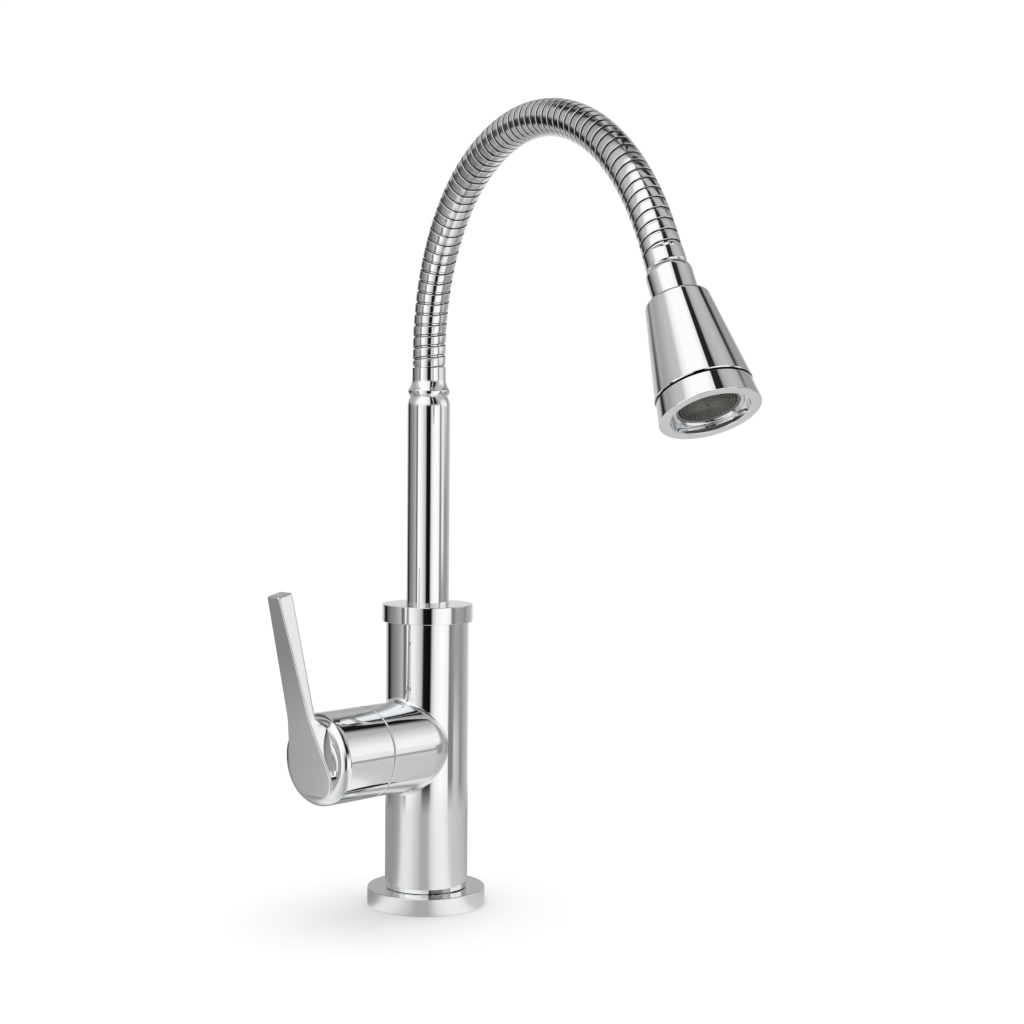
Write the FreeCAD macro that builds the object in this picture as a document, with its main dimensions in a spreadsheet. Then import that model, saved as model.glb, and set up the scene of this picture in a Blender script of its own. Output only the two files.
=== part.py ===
# Single-lever bar faucet with a flexible ribbed gooseneck, as separate pieces that seat in each other.
# Millimetres. +Z up, origin at the middle of the base flange's underside, the valve's axis along -X.
import FreeCAD, Part
import os
from math import acos, atan2, cos, degrees, pi, radians, sin, sqrt, tan
from types import SimpleNamespace

import Sketcher
from FreeCAD import Placement, Rotation, Vector

SIZES = {
    # column and base
    "column_radius": 21.4, "column_top": 147.2, "foot_radius": 17.5, "foot_relief": 0.6,
    "flange_radius": 30.5, "flange_height": 8.84, "flange_edge": 0.5, "flange_fit": 0.15,
    "gasket_inner": 20.5, "gasket_outer": 27.0, "gasket_depth": 2.0,
    "foot_ring_depth": 1.6, "foot_ring_height": 2.4, "foot_ring_level": 3.2,
    # inlets and fixing stud hole in the underside of the foot
    "inlet_radius": 4.5, "inlet_depth": 16.0, "inlet_back": 6.0, "stud_radius": 3.4, "stud_depth": 20.0,
    "stud_forward": 11.0,
    # boss that carries the valve cartridge
    "axis_height": 84.2, "boss_radius": 23.05, "boss_face": 44.9, "boss_nose": 17.0, "boss_blend": 2.5,
    "seat_floor": 15.0, "mouth_step": 1.9, "mouth_depth": 7.8,
    # cartridge
    "port_ring": 9.5, "port_radius": 3.3, "passage_radius": 3.6, "passage_end": 4.2, "passage_sump": 0.8,
    "cartridge_fit": 0.15, "base_thickness": 5.0, "seal_width": 1.6, "seal_depth": 1.4, "disc_radius": 13.5, "disc_slack": 0.3, "disc_clear": 0.35,
    "disc_thickness": 3.2, "disc_recess": 1.6, "recess_radius": 7.0, "recess_rise": 4.0, "water_film": 0.02,
    "housing_wall": 3.6, "housing_end": 3.0, "housing_neck": 11.0, "neck_height": 6.8,
    "stem_radius": 6.0, "stem_gap": 0.05, "stem_flange": 8.0, "stem_flange_height": 2.0,
    "stem_tongue": 4.0, "stem_end_radius": 4.8, "stem_end_gap": 0.2, "thrust_gap": 0.1,
    "nut_fit": 0.1, "nut_recess": 0.5, "nut_slot_width": 4.0, "nut_slot_depth": 2.0,
    # handle
    "handle_gap": 0.4, "hub_end": 78.5, "hub_round": 4.5, "hub_wall": 3.0, "hub_cavity": 14.0,
    "hub_socket": 9.0, "hub_socket_height": 7.0, "socket_end": 70.0, "socket_fit": 0.02,
    "plate_offset": 83.1, "plate_tilt": 15.0, "plate_radius": 14.6, "plate_drop": 7.0,
    "waist_half": 8.2, "waist_level": 22.0, "waist_bend": 40.0, "tip_half": 4.0, "lever_reach": 85.2,
    "tip_depth": 9.2, "tip_lean": 13.0, "root_height": 20.8, "root_stand": 5.4, "root_foot": 16.8,
    "lever_edge": 0.9, "lever_back_edge": 1.6, "tip_corner": 1.8,
    "screw_level": 64.5, "screw_radius": 2.5, "screw_fit": 0.05, "screw_length": 9.0, "screw_flat": 4.0,
    "plug_radius": 3.2, "plug_depth": 3.0, "plug_recess": 0.4,
    # spout swivel in the top of the column
    "collar_radius": 23.42, "collar_height": 8.9, "collar_edge": 0.35, "collar_lip": 2.8, "collar_thread": 17.5,
    "thread_fit": 0.1, "thread_length": 11.2, "riser_radius": 11.0, "riser_wall": 1.2, "lip_gap": 0.15,
    "bush_wall": 1.85, "swivel_gap": 0.05, "bush_fit": 0.05, "bush_flange": 2.8, "swivel_radius": 15.6,
    "swivel_slack": 0.2, "shoulder_height": 4.0, "washer_thickness": 1.3, "spigot_radius": 12.5,
    "spigot_length": 15.5, "spigot_end_gap": 0.5, "spigot_bore": 6.0, "ring_depth": 2.0, "ring_height": 2.4,
    "ring_drop": 6.0, "outlet_radius": 6.5, "press_fit": 0.02, "foot_neck": 18.0,
    # riser and its upper fitting
    "riser_top": 257.8, "roll_depth": 1.45, "roll_height": 5.0, "crest_step": 0.15, "crest_height": 3.0,
    "crest_edge": 0.3, "flare_height": 5.6, "sleeve_radius": 8.75, "sleeve_length": 6.2, "skirt_length": 8.0,
    # gooseneck hose, its core tube and their path
    "hose_radius": 8.55, "groove_radius": 7.95, "rib_flat": 2.6, "rib_count": 66,
    "hose_bore": 6.4, "crimp_radius": 7.2, "crimp_length": 9.5, "crimp_fit": 0.05, "tube_outer": 6.0,
    "tube_bore": 4.0, "end_run": 7.6, "spout_swivel": 20.0,
    "first_bend": 102.0, "first_turn": 59.2, "last_bend": 124.7, "last_turn": 91.2,
    "barb_radius": 3.85, "barb_root": 3.5, "barb_length": 15.0, "barb_pitch": 5.0, "barb_bore": 2.6,
    # head
    "upper_sleeve": 5.2, "upper_round": 1.0, "upper_neck": 8.2, "barrel_radius": 8.0,
    "dome_height": 3.4, "neck_radius": 9.8, "neck_length": 15.3, "neck_fit": 0.05, "washer_height": 1.0,
    "barb_shaft": 6.4, "barb_flange": 3.0,
    "barb_shaft_length": 18.0, "neck_thread": 9.0, "shell_top_radius": 13.7, "shell_bottom_radius": 20.5,
    "shell_length": 42.7, "shell_round": 1.8, "shell_wall": 2.5, "shell_web": 6.0, "shell_thread": 17.9,
    "shell_thread_length": 8.2, "seam_gap": 0.7, "seam_depth": 1.9, "ring_radius": 21.3, "ring_length": 9.5,
    "ring_edge": 0.5, "outlet_bore": 16.5, "recess_depth": 4.0, "aerator_radius": 14.1, "aerator_fit": 0.1,
    "aerator_length": 10.0, "aerator_wall": 0.8, "aerator_lip": 0.6, "ledge_radius": 11.5,
    "ledge_height": 1.2, "aerator_gap": 0.1, "screen_thickness": 0.8, "screen_depth": 0.4,
    "core_thickness": 3.0, "core_rim": 1.0, "core_hole": 2.0, "core_ring": 8.0, "window_inner": 2.2,
    "window_middle": 6.4, "window_bar": 1.2, "window_outer": 12.2,
}


class Size:
    """A number together with the sheet expression that gives it."""

    def __init__(self, value, text):
        self.value = value
        self.text = text

    def __add__(self, other):
        other = as_size(other)
        return Size(self.value + other.value, f"({self.text} + {other.text})")

    def __sub__(self, other):
        other = as_size(other)
        return Size(self.value - other.value, f"({self.text} - {other.text})")

    def __mul__(self, other):
        other = as_size(other)
        return Size(self.value * other.value, f"({self.text} * {other.text})")

    def __truediv__(self, other):
        other = as_size(other)
        return Size(self.value / other.value, f"({self.text} / {other.text})")

    def __neg__(self):
        return Size(-self.value, f"(0 - {self.text})")

    def __float__(self):
        return self.value


def as_size(number):
    return number if isinstance(number, Size) else Size(float(number), repr(float(number)))


def sine(angle):
    return Size(sin(radians(angle.value)), f"sin({angle.text} * 1 deg)")


def cosine(angle):
    return Size(cos(radians(angle.value)), f"cos({angle.text} * 1 deg)")


doc = FreeCAD.newDocument("BarFaucet")
sheet = doc.addObject("Spreadsheet::Sheet", "Sizes")
for row, (name, number) in enumerate(SIZES.items(), start=1):
    sheet.set(f"A{row}", name)
    sheet.set(f"B{row}", str(number))
    sheet.setAlias(f"B{row}", name)
doc.recompute()
S = SimpleNamespace(**{name: Size(float(sheet.get(name)), f"Sizes.{name}") for name in SIZES})

PARTS = []


# ---------------------------------------------------------------- building blocks

def new_body(label, placement=None):
    body = doc.addObject("PartDesign::Body", label)
    body.Label = label
    if placement is not None:
        body.Placement = placement
    PARTS.append(body)
    return body


def sketch_on(body, role):
    plane = next(item for item in body.Origin.OriginFeatures if item.Role == role)
    sketch = body.newObject("Sketcher::SketchObject", f"{body.Label}_sketch")
    sketch.AttachmentSupport = [(plane, "")]
    sketch.MapMode = "FlatFace"
    return sketch


def bind(sketch, constraint, size):
    index = sketch.addConstraint(constraint)
    sketch.setExpression(f"Constraints[{index}]", as_size(size).text)


def bind_point(sketch, geometry, vertex, x, y):
    for kind, size in (("DistanceX", as_size(x)), ("DistanceY", as_size(y))):
        bind(sketch, Sketcher.Constraint(kind, geometry, vertex, size.value), size)


def arc_between(start, end, radius, side):
    """The short arc from start to end, with its middle to the left (side 1) or the right (side -1)."""
    chord = end - start
    rise = sqrt(max(0.0, radius ** 2 - (chord.Length / 2) ** 2))
    across = Vector(-chord.y, chord.x, 0).normalize() * side
    ring = Part.Circle((start + end) / 2 + across * rise, Vector(0, 0, 1), radius)
    first, last = (start, end) if side > 0 else (end, start)
    return Part.ArcOfCircle(ring, ring.parameter(first), ring.parameter(last))


def outline(sketch, points):
    """A closed outline. A point is (x, y), or (x, y, radius, side) where an arc runs on from it."""
    first = sketch.GeometryCount
    flat = [Vector(float(point[0]), float(point[1]), 0) for point in points]
    ends = []
    for index, point in enumerate(points):
        start, end = flat[index], flat[(index + 1) % len(flat)]
        if len(point) == 2:
            sketch.addGeometry(Part.LineSegment(start, end), False)
            ends.append((1, 2))
        else:
            sketch.addGeometry(arc_between(start, end, float(point[2]), point[3]), False)
            ends.append((1, 2) if point[3] > 0 else (2, 1))
    for index in range(len(flat)):
        after = (index + 1) % len(flat)
        sketch.addConstraint(Sketcher.Constraint(
            "Coincident", first + index, ends[index][1], first + after, ends[after][0]))
    for index, point in enumerate(points):
        bind_point(sketch, first + index, ends[index][0], point[0], point[1])
        if len(point) == 4:
            bind(sketch, Sketcher.Constraint("Radius", first + index, float(point[2])), point[2])


def roll(width, height):
    """Radius of an arc that starts along the height and drifts sideways by the width."""
    return (width * width + height * height) / (width * 2)


def circle(sketch, x, y, radius):
    radius = as_size(radius)
    ring = Part.Circle(Vector(float(x), float(y), 0), Vector(0, 0, 1), radius.value)
    index = sketch.addGeometry(ring, False)
    bind(sketch, Sketcher.Constraint("Radius", index, radius.value), radius)
    bind_point(sketch, index, 3, x, y)


def feature(body, kind, sketch, **values):
    """A sketched feature. One that cuts has to take material away."""
    before = body.Shape.Volume if body.Tip is not None else 0.0
    made = body.newObject(f"PartDesign::{kind}", f"{body.Label}_{kind}")
    made.Profile = sketch
    for key, value in values.items():
        if isinstance(value, Size):
            made.setExpression(key, value.text)
        else:
            setattr(made, key, value)
    sketch.Visibility = False
    doc.recompute()
    if kind in ("Pocket", "Groove") and not body.Shape.Volume < before - 1e-6:
        raise ValueError(f"{made.Label} cuts nothing")
    return made


def revolve(body, kind, axis, *outlines):
    sketch = sketch_on(body, "XZ_Plane")
    for points in outlines:
        outline(sketch, points)
    return feature(body, kind, sketch, ReferenceAxis=(sketch, [axis]), Angle=360.0)


def turned(label, *outlines, placement=None):
    """A piece turned about its own Z axis, from outlines of (radius, height)."""
    body = new_body(label, placement)
    revolve(body, "Revolution", "V_Axis", *outlines)
    return body


def ring_section(inner, outer, bottom, top):
    return [(inner, bottom), (outer, bottom), (outer, top), (inner, top)]


def drilled(body, height, depth, places, radius, upward=True):
    """Round holes along the body's own Z axis, from the level height."""
    sketch = sketch_on(body, "XY_Plane")
    sketch.setExpression("AttachmentOffset.Base.z", as_size(height).text)
    for x, y in places:
        circle(sketch, x, y, radius)
    return feature(body, "Pocket", sketch, Length=as_size(depth), Reversed=upward)


def rims(body, radius, height):
    """Names of the round edges of that radius at that level on the body's own axis."""
    names = []
    for index, edge in enumerate(body.Tip.Shape.Edges, start=1):
        curve = edge.Curve
        if not isinstance(curve, Part.Circle) or abs(curve.Axis.z) < 0.999:
            continue
        middle = curve.Center
        here = abs(curve.Radius - float(radius)) < 1e-4 and abs(middle.z - float(height)) < 1e-4
        if here and abs(middle.x) < 1e-4 and abs(middle.y) < 1e-4:
            names.append(f"Edge{index}")
    return names


def eased(body, kind, edges, size):
    """A Fillet or Chamfer on the named edges of the body's last feature."""
    if not edges:
        raise ValueError(f"{body.Label} has no such edge to ease")
    base = body.Tip
    made = body.newObject(f"PartDesign::{kind}", f"{body.Label}_{kind}")
    made.Base = (base, edges)
    made.setExpression("Radius" if kind == "Fillet" else "Size", size.text)
    doc.recompute()
    return made


def patterned(body, base, count):
    """Turns the feature about the body's own Z axis into count even copies."""
    axis = next(item for item in body.Origin.OriginFeatures if item.Role == "Z_Axis")
    made = body.newObject("PartDesign::PolarPattern", f"{body.Label}_pattern")
    made.Originals = [base]
    made.Axis = (axis, [""])
    made.Angle = 360.0
    made.Occurrences = count
    body.Tip = made
    doc.recompute()
    return made


# ---------------------------------------------------------------- frames of the three stacks

def valve_frame():
    """Local +Z points out of the boss, along -X, and local +X points up."""
    return Placement(Vector(0, 0, S.axis_height.value), Rotation(Vector(0, 1, 0), -90))


def spout_frame():
    """Local +X is the way the spout points: forward, swung towards the handle."""
    return Placement(Vector(0, 0, 0), Rotation(Vector(0, 0, 1), -90 - S.spout_swivel.value))


def hose_runs():
    """The hose's middle line in view: straight, two tangent bends, straight, as (length, bend)."""
    run = S.end_run.value
    bends = [(radians(turn.value) * bend.value, bend.value)
             for bend, turn in ((S.first_bend, S.first_turn), (S.last_bend, S.last_turn))]
    return [(run, None), *bends, (run, None)]


HOSE_FOOT = S.riser_top + S.roll_height + S.crest_height + S.flare_height + S.sleeve_length
HOSE_LENGTH = sum(length for length, _ in hose_runs())


def hose_point(distance):
    """Reach, height and lean from upright of the middle line, that far above the hose's foot."""
    reach, height, lean = 0.0, HOSE_FOOT.value, 0.0
    runs = hose_runs()
    for index, (length, bend) in enumerate(runs):
        step = distance if distance < length or index == len(runs) - 1 else length
        if bend is None:
            reach += step * sin(lean)
            height += step * cos(lean)
        else:
            after = lean + step / bend
            reach += bend * (cos(lean) - cos(after))
            height += bend * (sin(after) - sin(lean))
            lean = after
        distance -= step
        if distance <= 0:
            break
    return reach, height, lean


def head_frame():
    """Local +Z runs from the hose's end to the outlet."""
    reach, height, lean = hose_point(HOSE_LENGTH)
    along = Placement(Vector(reach, 0, height), Rotation(Vector(0, 1, 0), degrees(lean)))
    return spout_frame().multiply(along)


VALVE = valve_frame()
SPOUT = spout_frame()
HEAD = head_frame()


# ---------------------------------------------------------------- base and column

def base_flange():
    bore = S.foot_radius + S.flange_fit
    body = turned("base_flange", [
        (bore, 0), (S.gasket_inner, 0), (S.gasket_inner, S.gasket_depth), (S.gasket_outer, S.gasket_depth),
        (S.gasket_outer, 0), (S.flange_radius, 0), (S.flange_radius, S.flange_height), (bore, S.flange_height),
    ])
    eased(body, "Chamfer", rims(body, S.flange_radius, S.flange_height), S.flange_edge)


def base_gasket():
    turned("base_gasket", ring_section(
        S.gasket_inner + S.flange_fit, S.gasket_outer - S.flange_fit, 0, S.gasket_depth))


def foot_ring():
    top = S.foot_ring_level + S.foot_ring_height
    turned("foot_ring", ring_section(S.foot_radius - S.foot_ring_depth, S.foot_radius, S.foot_ring_level, top))


def swivel_levels():
    """Levels of the spout's seat in the column."""
    thread = S.column_top - S.thread_length
    shoulder_top = thread - S.bush_flange - S.swivel_gap
    shoulder = shoulder_top - S.shoulder_height
    ledge = shoulder - S.washer_thickness - S.swivel_gap
    return SimpleNamespace(thread=thread, shoulder_top=shoulder_top, shoulder=shoulder, ledge=ledge,
                           bore=ledge - S.spigot_length)


def port_places():
    """Places of the cartridge's ports as (sideways, up) from its axis: outlet first, then the inlets."""
    side, drop = S.port_ring * sin(radians(60)), S.port_ring * -0.5
    return [(0, S.port_ring), (side, drop), (-side, drop)]


LEVEL = swivel_levels()
SEAT = S.disc_radius + S.disc_clear + S.housing_wall + S.cartridge_fit
MOUTH = SEAT + S.mouth_step


def valve_body():
    body = new_body("valve_body")
    ring_top = S.foot_ring_level + S.foot_ring_height
    ring_root = S.foot_radius - S.foot_ring_depth
    revolve(body, "Revolution", "V_Axis", [
        (0, 0), (S.foot_radius, 0), (S.foot_radius, S.foot_ring_level), (ring_root, S.foot_ring_level),
        (ring_root, ring_top), (S.foot_radius, ring_top), (S.foot_radius, S.flange_height),
        (S.column_radius - S.foot_relief, S.flange_height),
        (S.column_radius, S.flange_height + S.foot_relief),
        (S.column_radius, S.column_top), (0, S.column_top),
    ])
    boss(body)
    swivel_seat(body)
    cartridge_seat(body)
    waterways(body)


def at_axis_height(body, kind, points):
    """A feature turned about the valve's axis, from points of (world X, radius)."""
    sketch = sketch_on(body, "XZ_Plane")
    sketch.setExpression("AttachmentOffset.Base.y", S.axis_height.text)
    outline(sketch, points)
    return feature(body, kind, sketch, ReferenceAxis=(sketch, ["H_Axis"]), Angle=360.0)


def boss(body):
    """A round bar whose inner end is half a ball inside the column, blended into it."""
    at_axis_height(body, "Revolution", [
        (-S.boss_face, 0), (S.boss_radius - S.boss_nose, 0, S.boss_radius, 1),
        (-S.boss_nose, S.boss_radius), (-S.boss_face, S.boss_radius),
    ])
    eased(body, "Fillet", boss_seam(body), S.boss_blend)


def boss_seam(body):
    """The edges where the boss meets the column."""
    names = []
    for index, edge in enumerate(body.Tip.Shape.Edges, start=1):
        off = 0.0
        for point in edge.discretize(7):
            inward = max(0.0, point.x + S.boss_nose.value)
            level = point.z - S.axis_height.value
            off = max(off, abs(sqrt(point.x ** 2 + point.y ** 2) - S.column_radius.value),
                      abs(sqrt(inward ** 2 + point.y ** 2 + level ** 2) - S.boss_radius.value))
        if off < 1e-3:
            names.append(f"Edge{index}")
    return names


def swivel_seat(body):
    passage = S.axis_height + S.port_ring - S.port_radius - S.passage_sump
    bore, seat = S.spigot_radius + S.swivel_gap, S.swivel_radius + S.swivel_slack
    thread = S.collar_thread + S.thread_fit
    revolve(body, "Groove", "V_Axis", [
        (0, passage), (S.outlet_radius, passage), (S.outlet_radius, LEVEL.bore), (bore, LEVEL.bore),
        (bore, LEVEL.ledge), (seat, LEVEL.ledge), (seat, LEVEL.thread), (thread, LEVEL.thread),
        (thread, S.column_top), (0, S.column_top),
    ])


def cartridge_seat(body):
    shoulder = S.mouth_depth - S.boss_face
    at_axis_height(body, "Groove", [
        (-S.seat_floor, 0), (-S.seat_floor, SEAT), (shoulder, SEAT),
        (shoulder, MOUTH), (-S.boss_face, MOUTH), (-S.boss_face, 0),
    ])


def waterways(body):
    """Ports from the cartridge's seat, the inlets and their passages, and the fixing stud's hole."""
    outlet, *inlets = port_places()
    for places, depth in (([outlet], S.seat_floor), (inlets, S.seat_floor - S.inlet_back)):
        sketch = sketch_on(body, "YZ_Plane")
        sketch.setExpression("AttachmentOffset.Base.z", (-S.seat_floor).text)
        for side, up in places:
            circle(sketch, side, S.axis_height + up, S.port_radius)
        feature(body, "Pocket", sketch, Length=depth, Reversed=True)
    below = [(-S.inlet_back, side) for side, _ in inlets]
    drilled(body, 0, S.axis_height + inlets[0][1] + S.passage_end, below, S.passage_radius)
    drilled(body, 0, S.inlet_depth, below, S.inlet_radius)
    drilled(body, 0, S.stud_depth, [(S.stud_forward, 0)], S.stud_radius)


# ---------------------------------------------------------------- cartridge

def cartridge_levels():
    """Distances from the column's axis, out along the valve's axis."""
    shoulder = S.boss_face - S.mouth_depth
    disc = S.seat_floor + S.base_thickness
    moving = disc + S.disc_thickness + S.water_film
    inner_end = shoulder - S.housing_end
    driver_top = inner_end - S.thrust_gap - S.stem_flange_height
    return SimpleNamespace(shoulder=shoulder, disc=disc, moving=moving, driver=moving + S.disc_thickness,
                           driver_top=driver_top, inner_end=inner_end, neck=shoulder + S.neck_height)


OUT = cartridge_levels()
PORTS = [(up, side) for side, up in port_places()]
SEAL_OUTER = S.port_radius + S.seal_width


def cartridge_base():
    outer = SEAT - S.cartridge_fit
    body = turned("cartridge_base", ring_section(0, outer, S.seat_floor, OUT.disc), placement=VALVE)
    drilled(body, S.seat_floor, S.base_thickness, PORTS, S.port_radius)
    drilled(body, S.seat_floor, S.seal_depth, PORTS, SEAL_OUTER)


def cartridge_seals():
    """Three flat rubber rings round the ports, pressed against the seat's floor."""
    seals = []
    for index, (up, side) in enumerate(PORTS):
        wall = []
        for kind, radius in (("outside", SEAL_OUTER), ("inside", S.port_radius)):
            rod = doc.addObject("Part::Cylinder", f"seal_{kind}_{index}")
            rod.setExpression("Radius", radius.text)
            rod.setExpression("Height", S.seal_depth.text)
            for axis, size in (("x", up), ("y", side), ("z", S.seat_floor)):
                rod.setExpression(f"Placement.Base.{axis}", as_size(size).text)
            wall.append(rod)
        seal = doc.addObject("Part::Cut", f"seal_{index}")
        seal.Base, seal.Tool = wall
        seals.append(seal)
    piece = doc.addObject("Part::Compound", "cartridge_seals")
    piece.Label = "cartridge_seals"
    piece.Links = seals
    piece.Placement = VALVE
    PARTS.append(piece)


def fixed_disc():
    body = turned("fixed_ceramic_disc", ring_section(0, S.disc_radius, OUT.disc, OUT.disc + S.disc_thickness),
                  placement=VALVE)
    drilled(body, OUT.disc, S.disc_thickness, PORTS, S.port_radius)


def moving_disc():
    """Its shallow recess joins the outlet to an inlet once the handle turns it."""
    body = turned("moving_ceramic_disc", ring_section(0, S.disc_radius - S.disc_slack, OUT.moving, OUT.driver),
                  placement=VALVE)
    drilled(body, OUT.moving, S.disc_recess, [(S.recess_rise, 0)], S.recess_radius)


def disc_driver():
    tongue = OUT.driver_top - S.stem_tongue
    socket = S.stem_end_radius + S.press_fit
    turned("disc_driver", [
        (0, OUT.driver), (S.disc_radius - S.disc_slack, OUT.driver),
        (S.disc_radius - S.disc_slack, OUT.driver_top), (socket, OUT.driver_top), (socket, tongue), (0, tongue),
    ], placement=VALVE)


def cartridge_housing():
    outer = SEAT - S.cartridge_fit
    inner = S.disc_radius + S.disc_clear
    bore = S.stem_radius + S.stem_gap
    turned("cartridge_housing", [
        (inner, OUT.disc), (outer, OUT.disc), (outer, OUT.shoulder), (S.housing_neck, OUT.shoulder),
        (S.housing_neck, OUT.neck), (bore, OUT.neck), (bore, OUT.inner_end), (inner, OUT.inner_end),
    ], placement=VALVE)


def cartridge_stem():
    flange_top = OUT.driver_top + S.stem_flange_height
    end = S.socket_end - S.stem_end_gap
    body = turned("cartridge_stem", [
        (0, OUT.driver_top - S.stem_tongue), (S.stem_end_radius, OUT.driver_top - S.stem_tongue),
        (S.stem_end_radius, OUT.driver_top), (S.stem_flange, OUT.driver_top), (S.stem_flange, flange_top),
        (S.stem_radius, flange_top), (S.stem_radius, OUT.neck), (S.stem_end_radius, OUT.neck),
        (S.stem_end_radius, end), (0, end),
    ], placement=VALVE)
    # flat for the set screw, on the underside
    sketch = sketch_on(body, "XY_Plane")
    sketch.setExpression("AttachmentOffset.Base.z", end.text)
    outline(sketch, [
        (-S.stem_end_radius, -S.stem_end_radius), (-S.screw_flat, -S.stem_end_radius),
        (-S.screw_flat, S.stem_end_radius), (-S.stem_end_radius, S.stem_end_radius),
    ])
    feature(body, "Pocket", sketch, Length=(end - S.screw_level) + S.screw_radius, Reversed=False)


def cartridge_nut():
    outer = MOUTH - S.nut_fit
    top = S.boss_face - S.nut_recess
    body = turned("cartridge_nut", ring_section(S.housing_neck + S.nut_fit, outer, OUT.shoulder, top),
                  placement=VALVE)
    sketch = sketch_on(body, "XY_Plane")
    sketch.setExpression("AttachmentOffset.Base.z", top.text)
    half = S.nut_slot_width / 2
    outline(sketch, [(-outer, -half), (outer, -half), (outer, half), (-outer, half)])
    feature(body, "Pocket", sketch, Length=S.nut_slot_depth, Reversed=False)


# ---------------------------------------------------------------- handle

def handle_lever():
    body = new_body("handle_lever", VALVE)
    hub_foot = S.boss_face + S.handle_gap
    # side view of the lever: outer face, square tip, inner face, and the step down to the hub's end
    sketch = sketch_on(body, "XZ_Plane")
    lean_sin, lean_cos = sine(S.plate_tilt), cosine(S.plate_tilt)
    low = -(S.plate_radius + S.plate_drop + 1)
    tip_up, tip_out = S.lever_reach * lean_cos, S.plate_offset + S.lever_reach * lean_sin
    back_up = tip_up + S.tip_depth * sine(S.tip_lean)
    back_out = tip_out - S.tip_depth * cosine(S.tip_lean)
    inside = S.hub_end - S.hub_round
    outline(sketch, [
        (low * lean_cos, inside), (low * lean_cos, S.plate_offset + low * lean_sin), (tip_up, tip_out),
        (back_up, back_out), (S.root_height, S.hub_end + S.root_stand), (S.root_foot, S.hub_end),
        (S.root_foot, inside),
    ])
    feature(body, "Pad", sketch, Length=S.boss_radius * 2, SideType="Symmetric")
    teardrop(body)
    eased(body, "Fillet", tip_corners(body), S.tip_corner)
    eased(body, "Fillet", back_edges(body), S.lever_back_edge)
    eased(body, "Fillet", front_edges(body), S.lever_edge)
    # hub
    corner = S.boss_radius - S.hub_round
    revolve(body, "Revolution", "V_Axis", [
        (0, hub_foot), (S.boss_radius, hub_foot), (S.boss_radius, inside, S.hub_round, 1),
        (corner, S.hub_end), (0, S.hub_end),
    ])
    cavity = hub_foot + S.hub_cavity
    socket_foot = cavity - S.hub_socket_height
    socket = S.stem_end_radius + S.socket_fit
    hollow = S.boss_radius - S.hub_wall
    revolve(body, "Groove", "V_Axis", [
        (0, hub_foot), (hollow, hub_foot), (hollow, cavity), (S.hub_socket, cavity),
        (S.hub_socket, socket_foot), (socket, socket_foot), (socket, S.socket_end), (0, S.socket_end),
    ])
    # screw hole from the underside, with a wider mouth for the plug
    for foot, radius in ((0, S.screw_radius + S.screw_fit), (plug_foot(), S.plug_radius + S.screw_fit)):
        sketch = sketch_on(body, "YZ_Plane")
        sketch.setExpression("AttachmentOffset.Base.z", (-as_size(foot)).text)
        circle(sketch, 0, S.screw_level, radius)
        feature(body, "Pocket", sketch, Length=S.boss_radius, Reversed=False)


def teardrop(body):
    """Trims the lever to its outline, which runs straight through it from its tilted outer face."""
    sketch = sketch_on(body, "XY_Plane")
    sketch.AttachmentOffset = Placement(Vector(0, 0, S.plate_offset.value),
                                        Rotation(Vector(0, 1, 0), -S.plate_tilt.value))
    sketch.setExpression("AttachmentOffset.Base.z", S.plate_offset.text)
    far = S.lever_reach + S.tip_depth * 2
    side = S.boss_radius + 2
    outline(sketch, [(-far, -side), (far, -side), (far, side), (-far, side)])
    lever_outline(sketch, far)
    feature(body, "Pocket", sketch, Length=S.lever_reach, Reversed=False, SideType="Symmetric")


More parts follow.
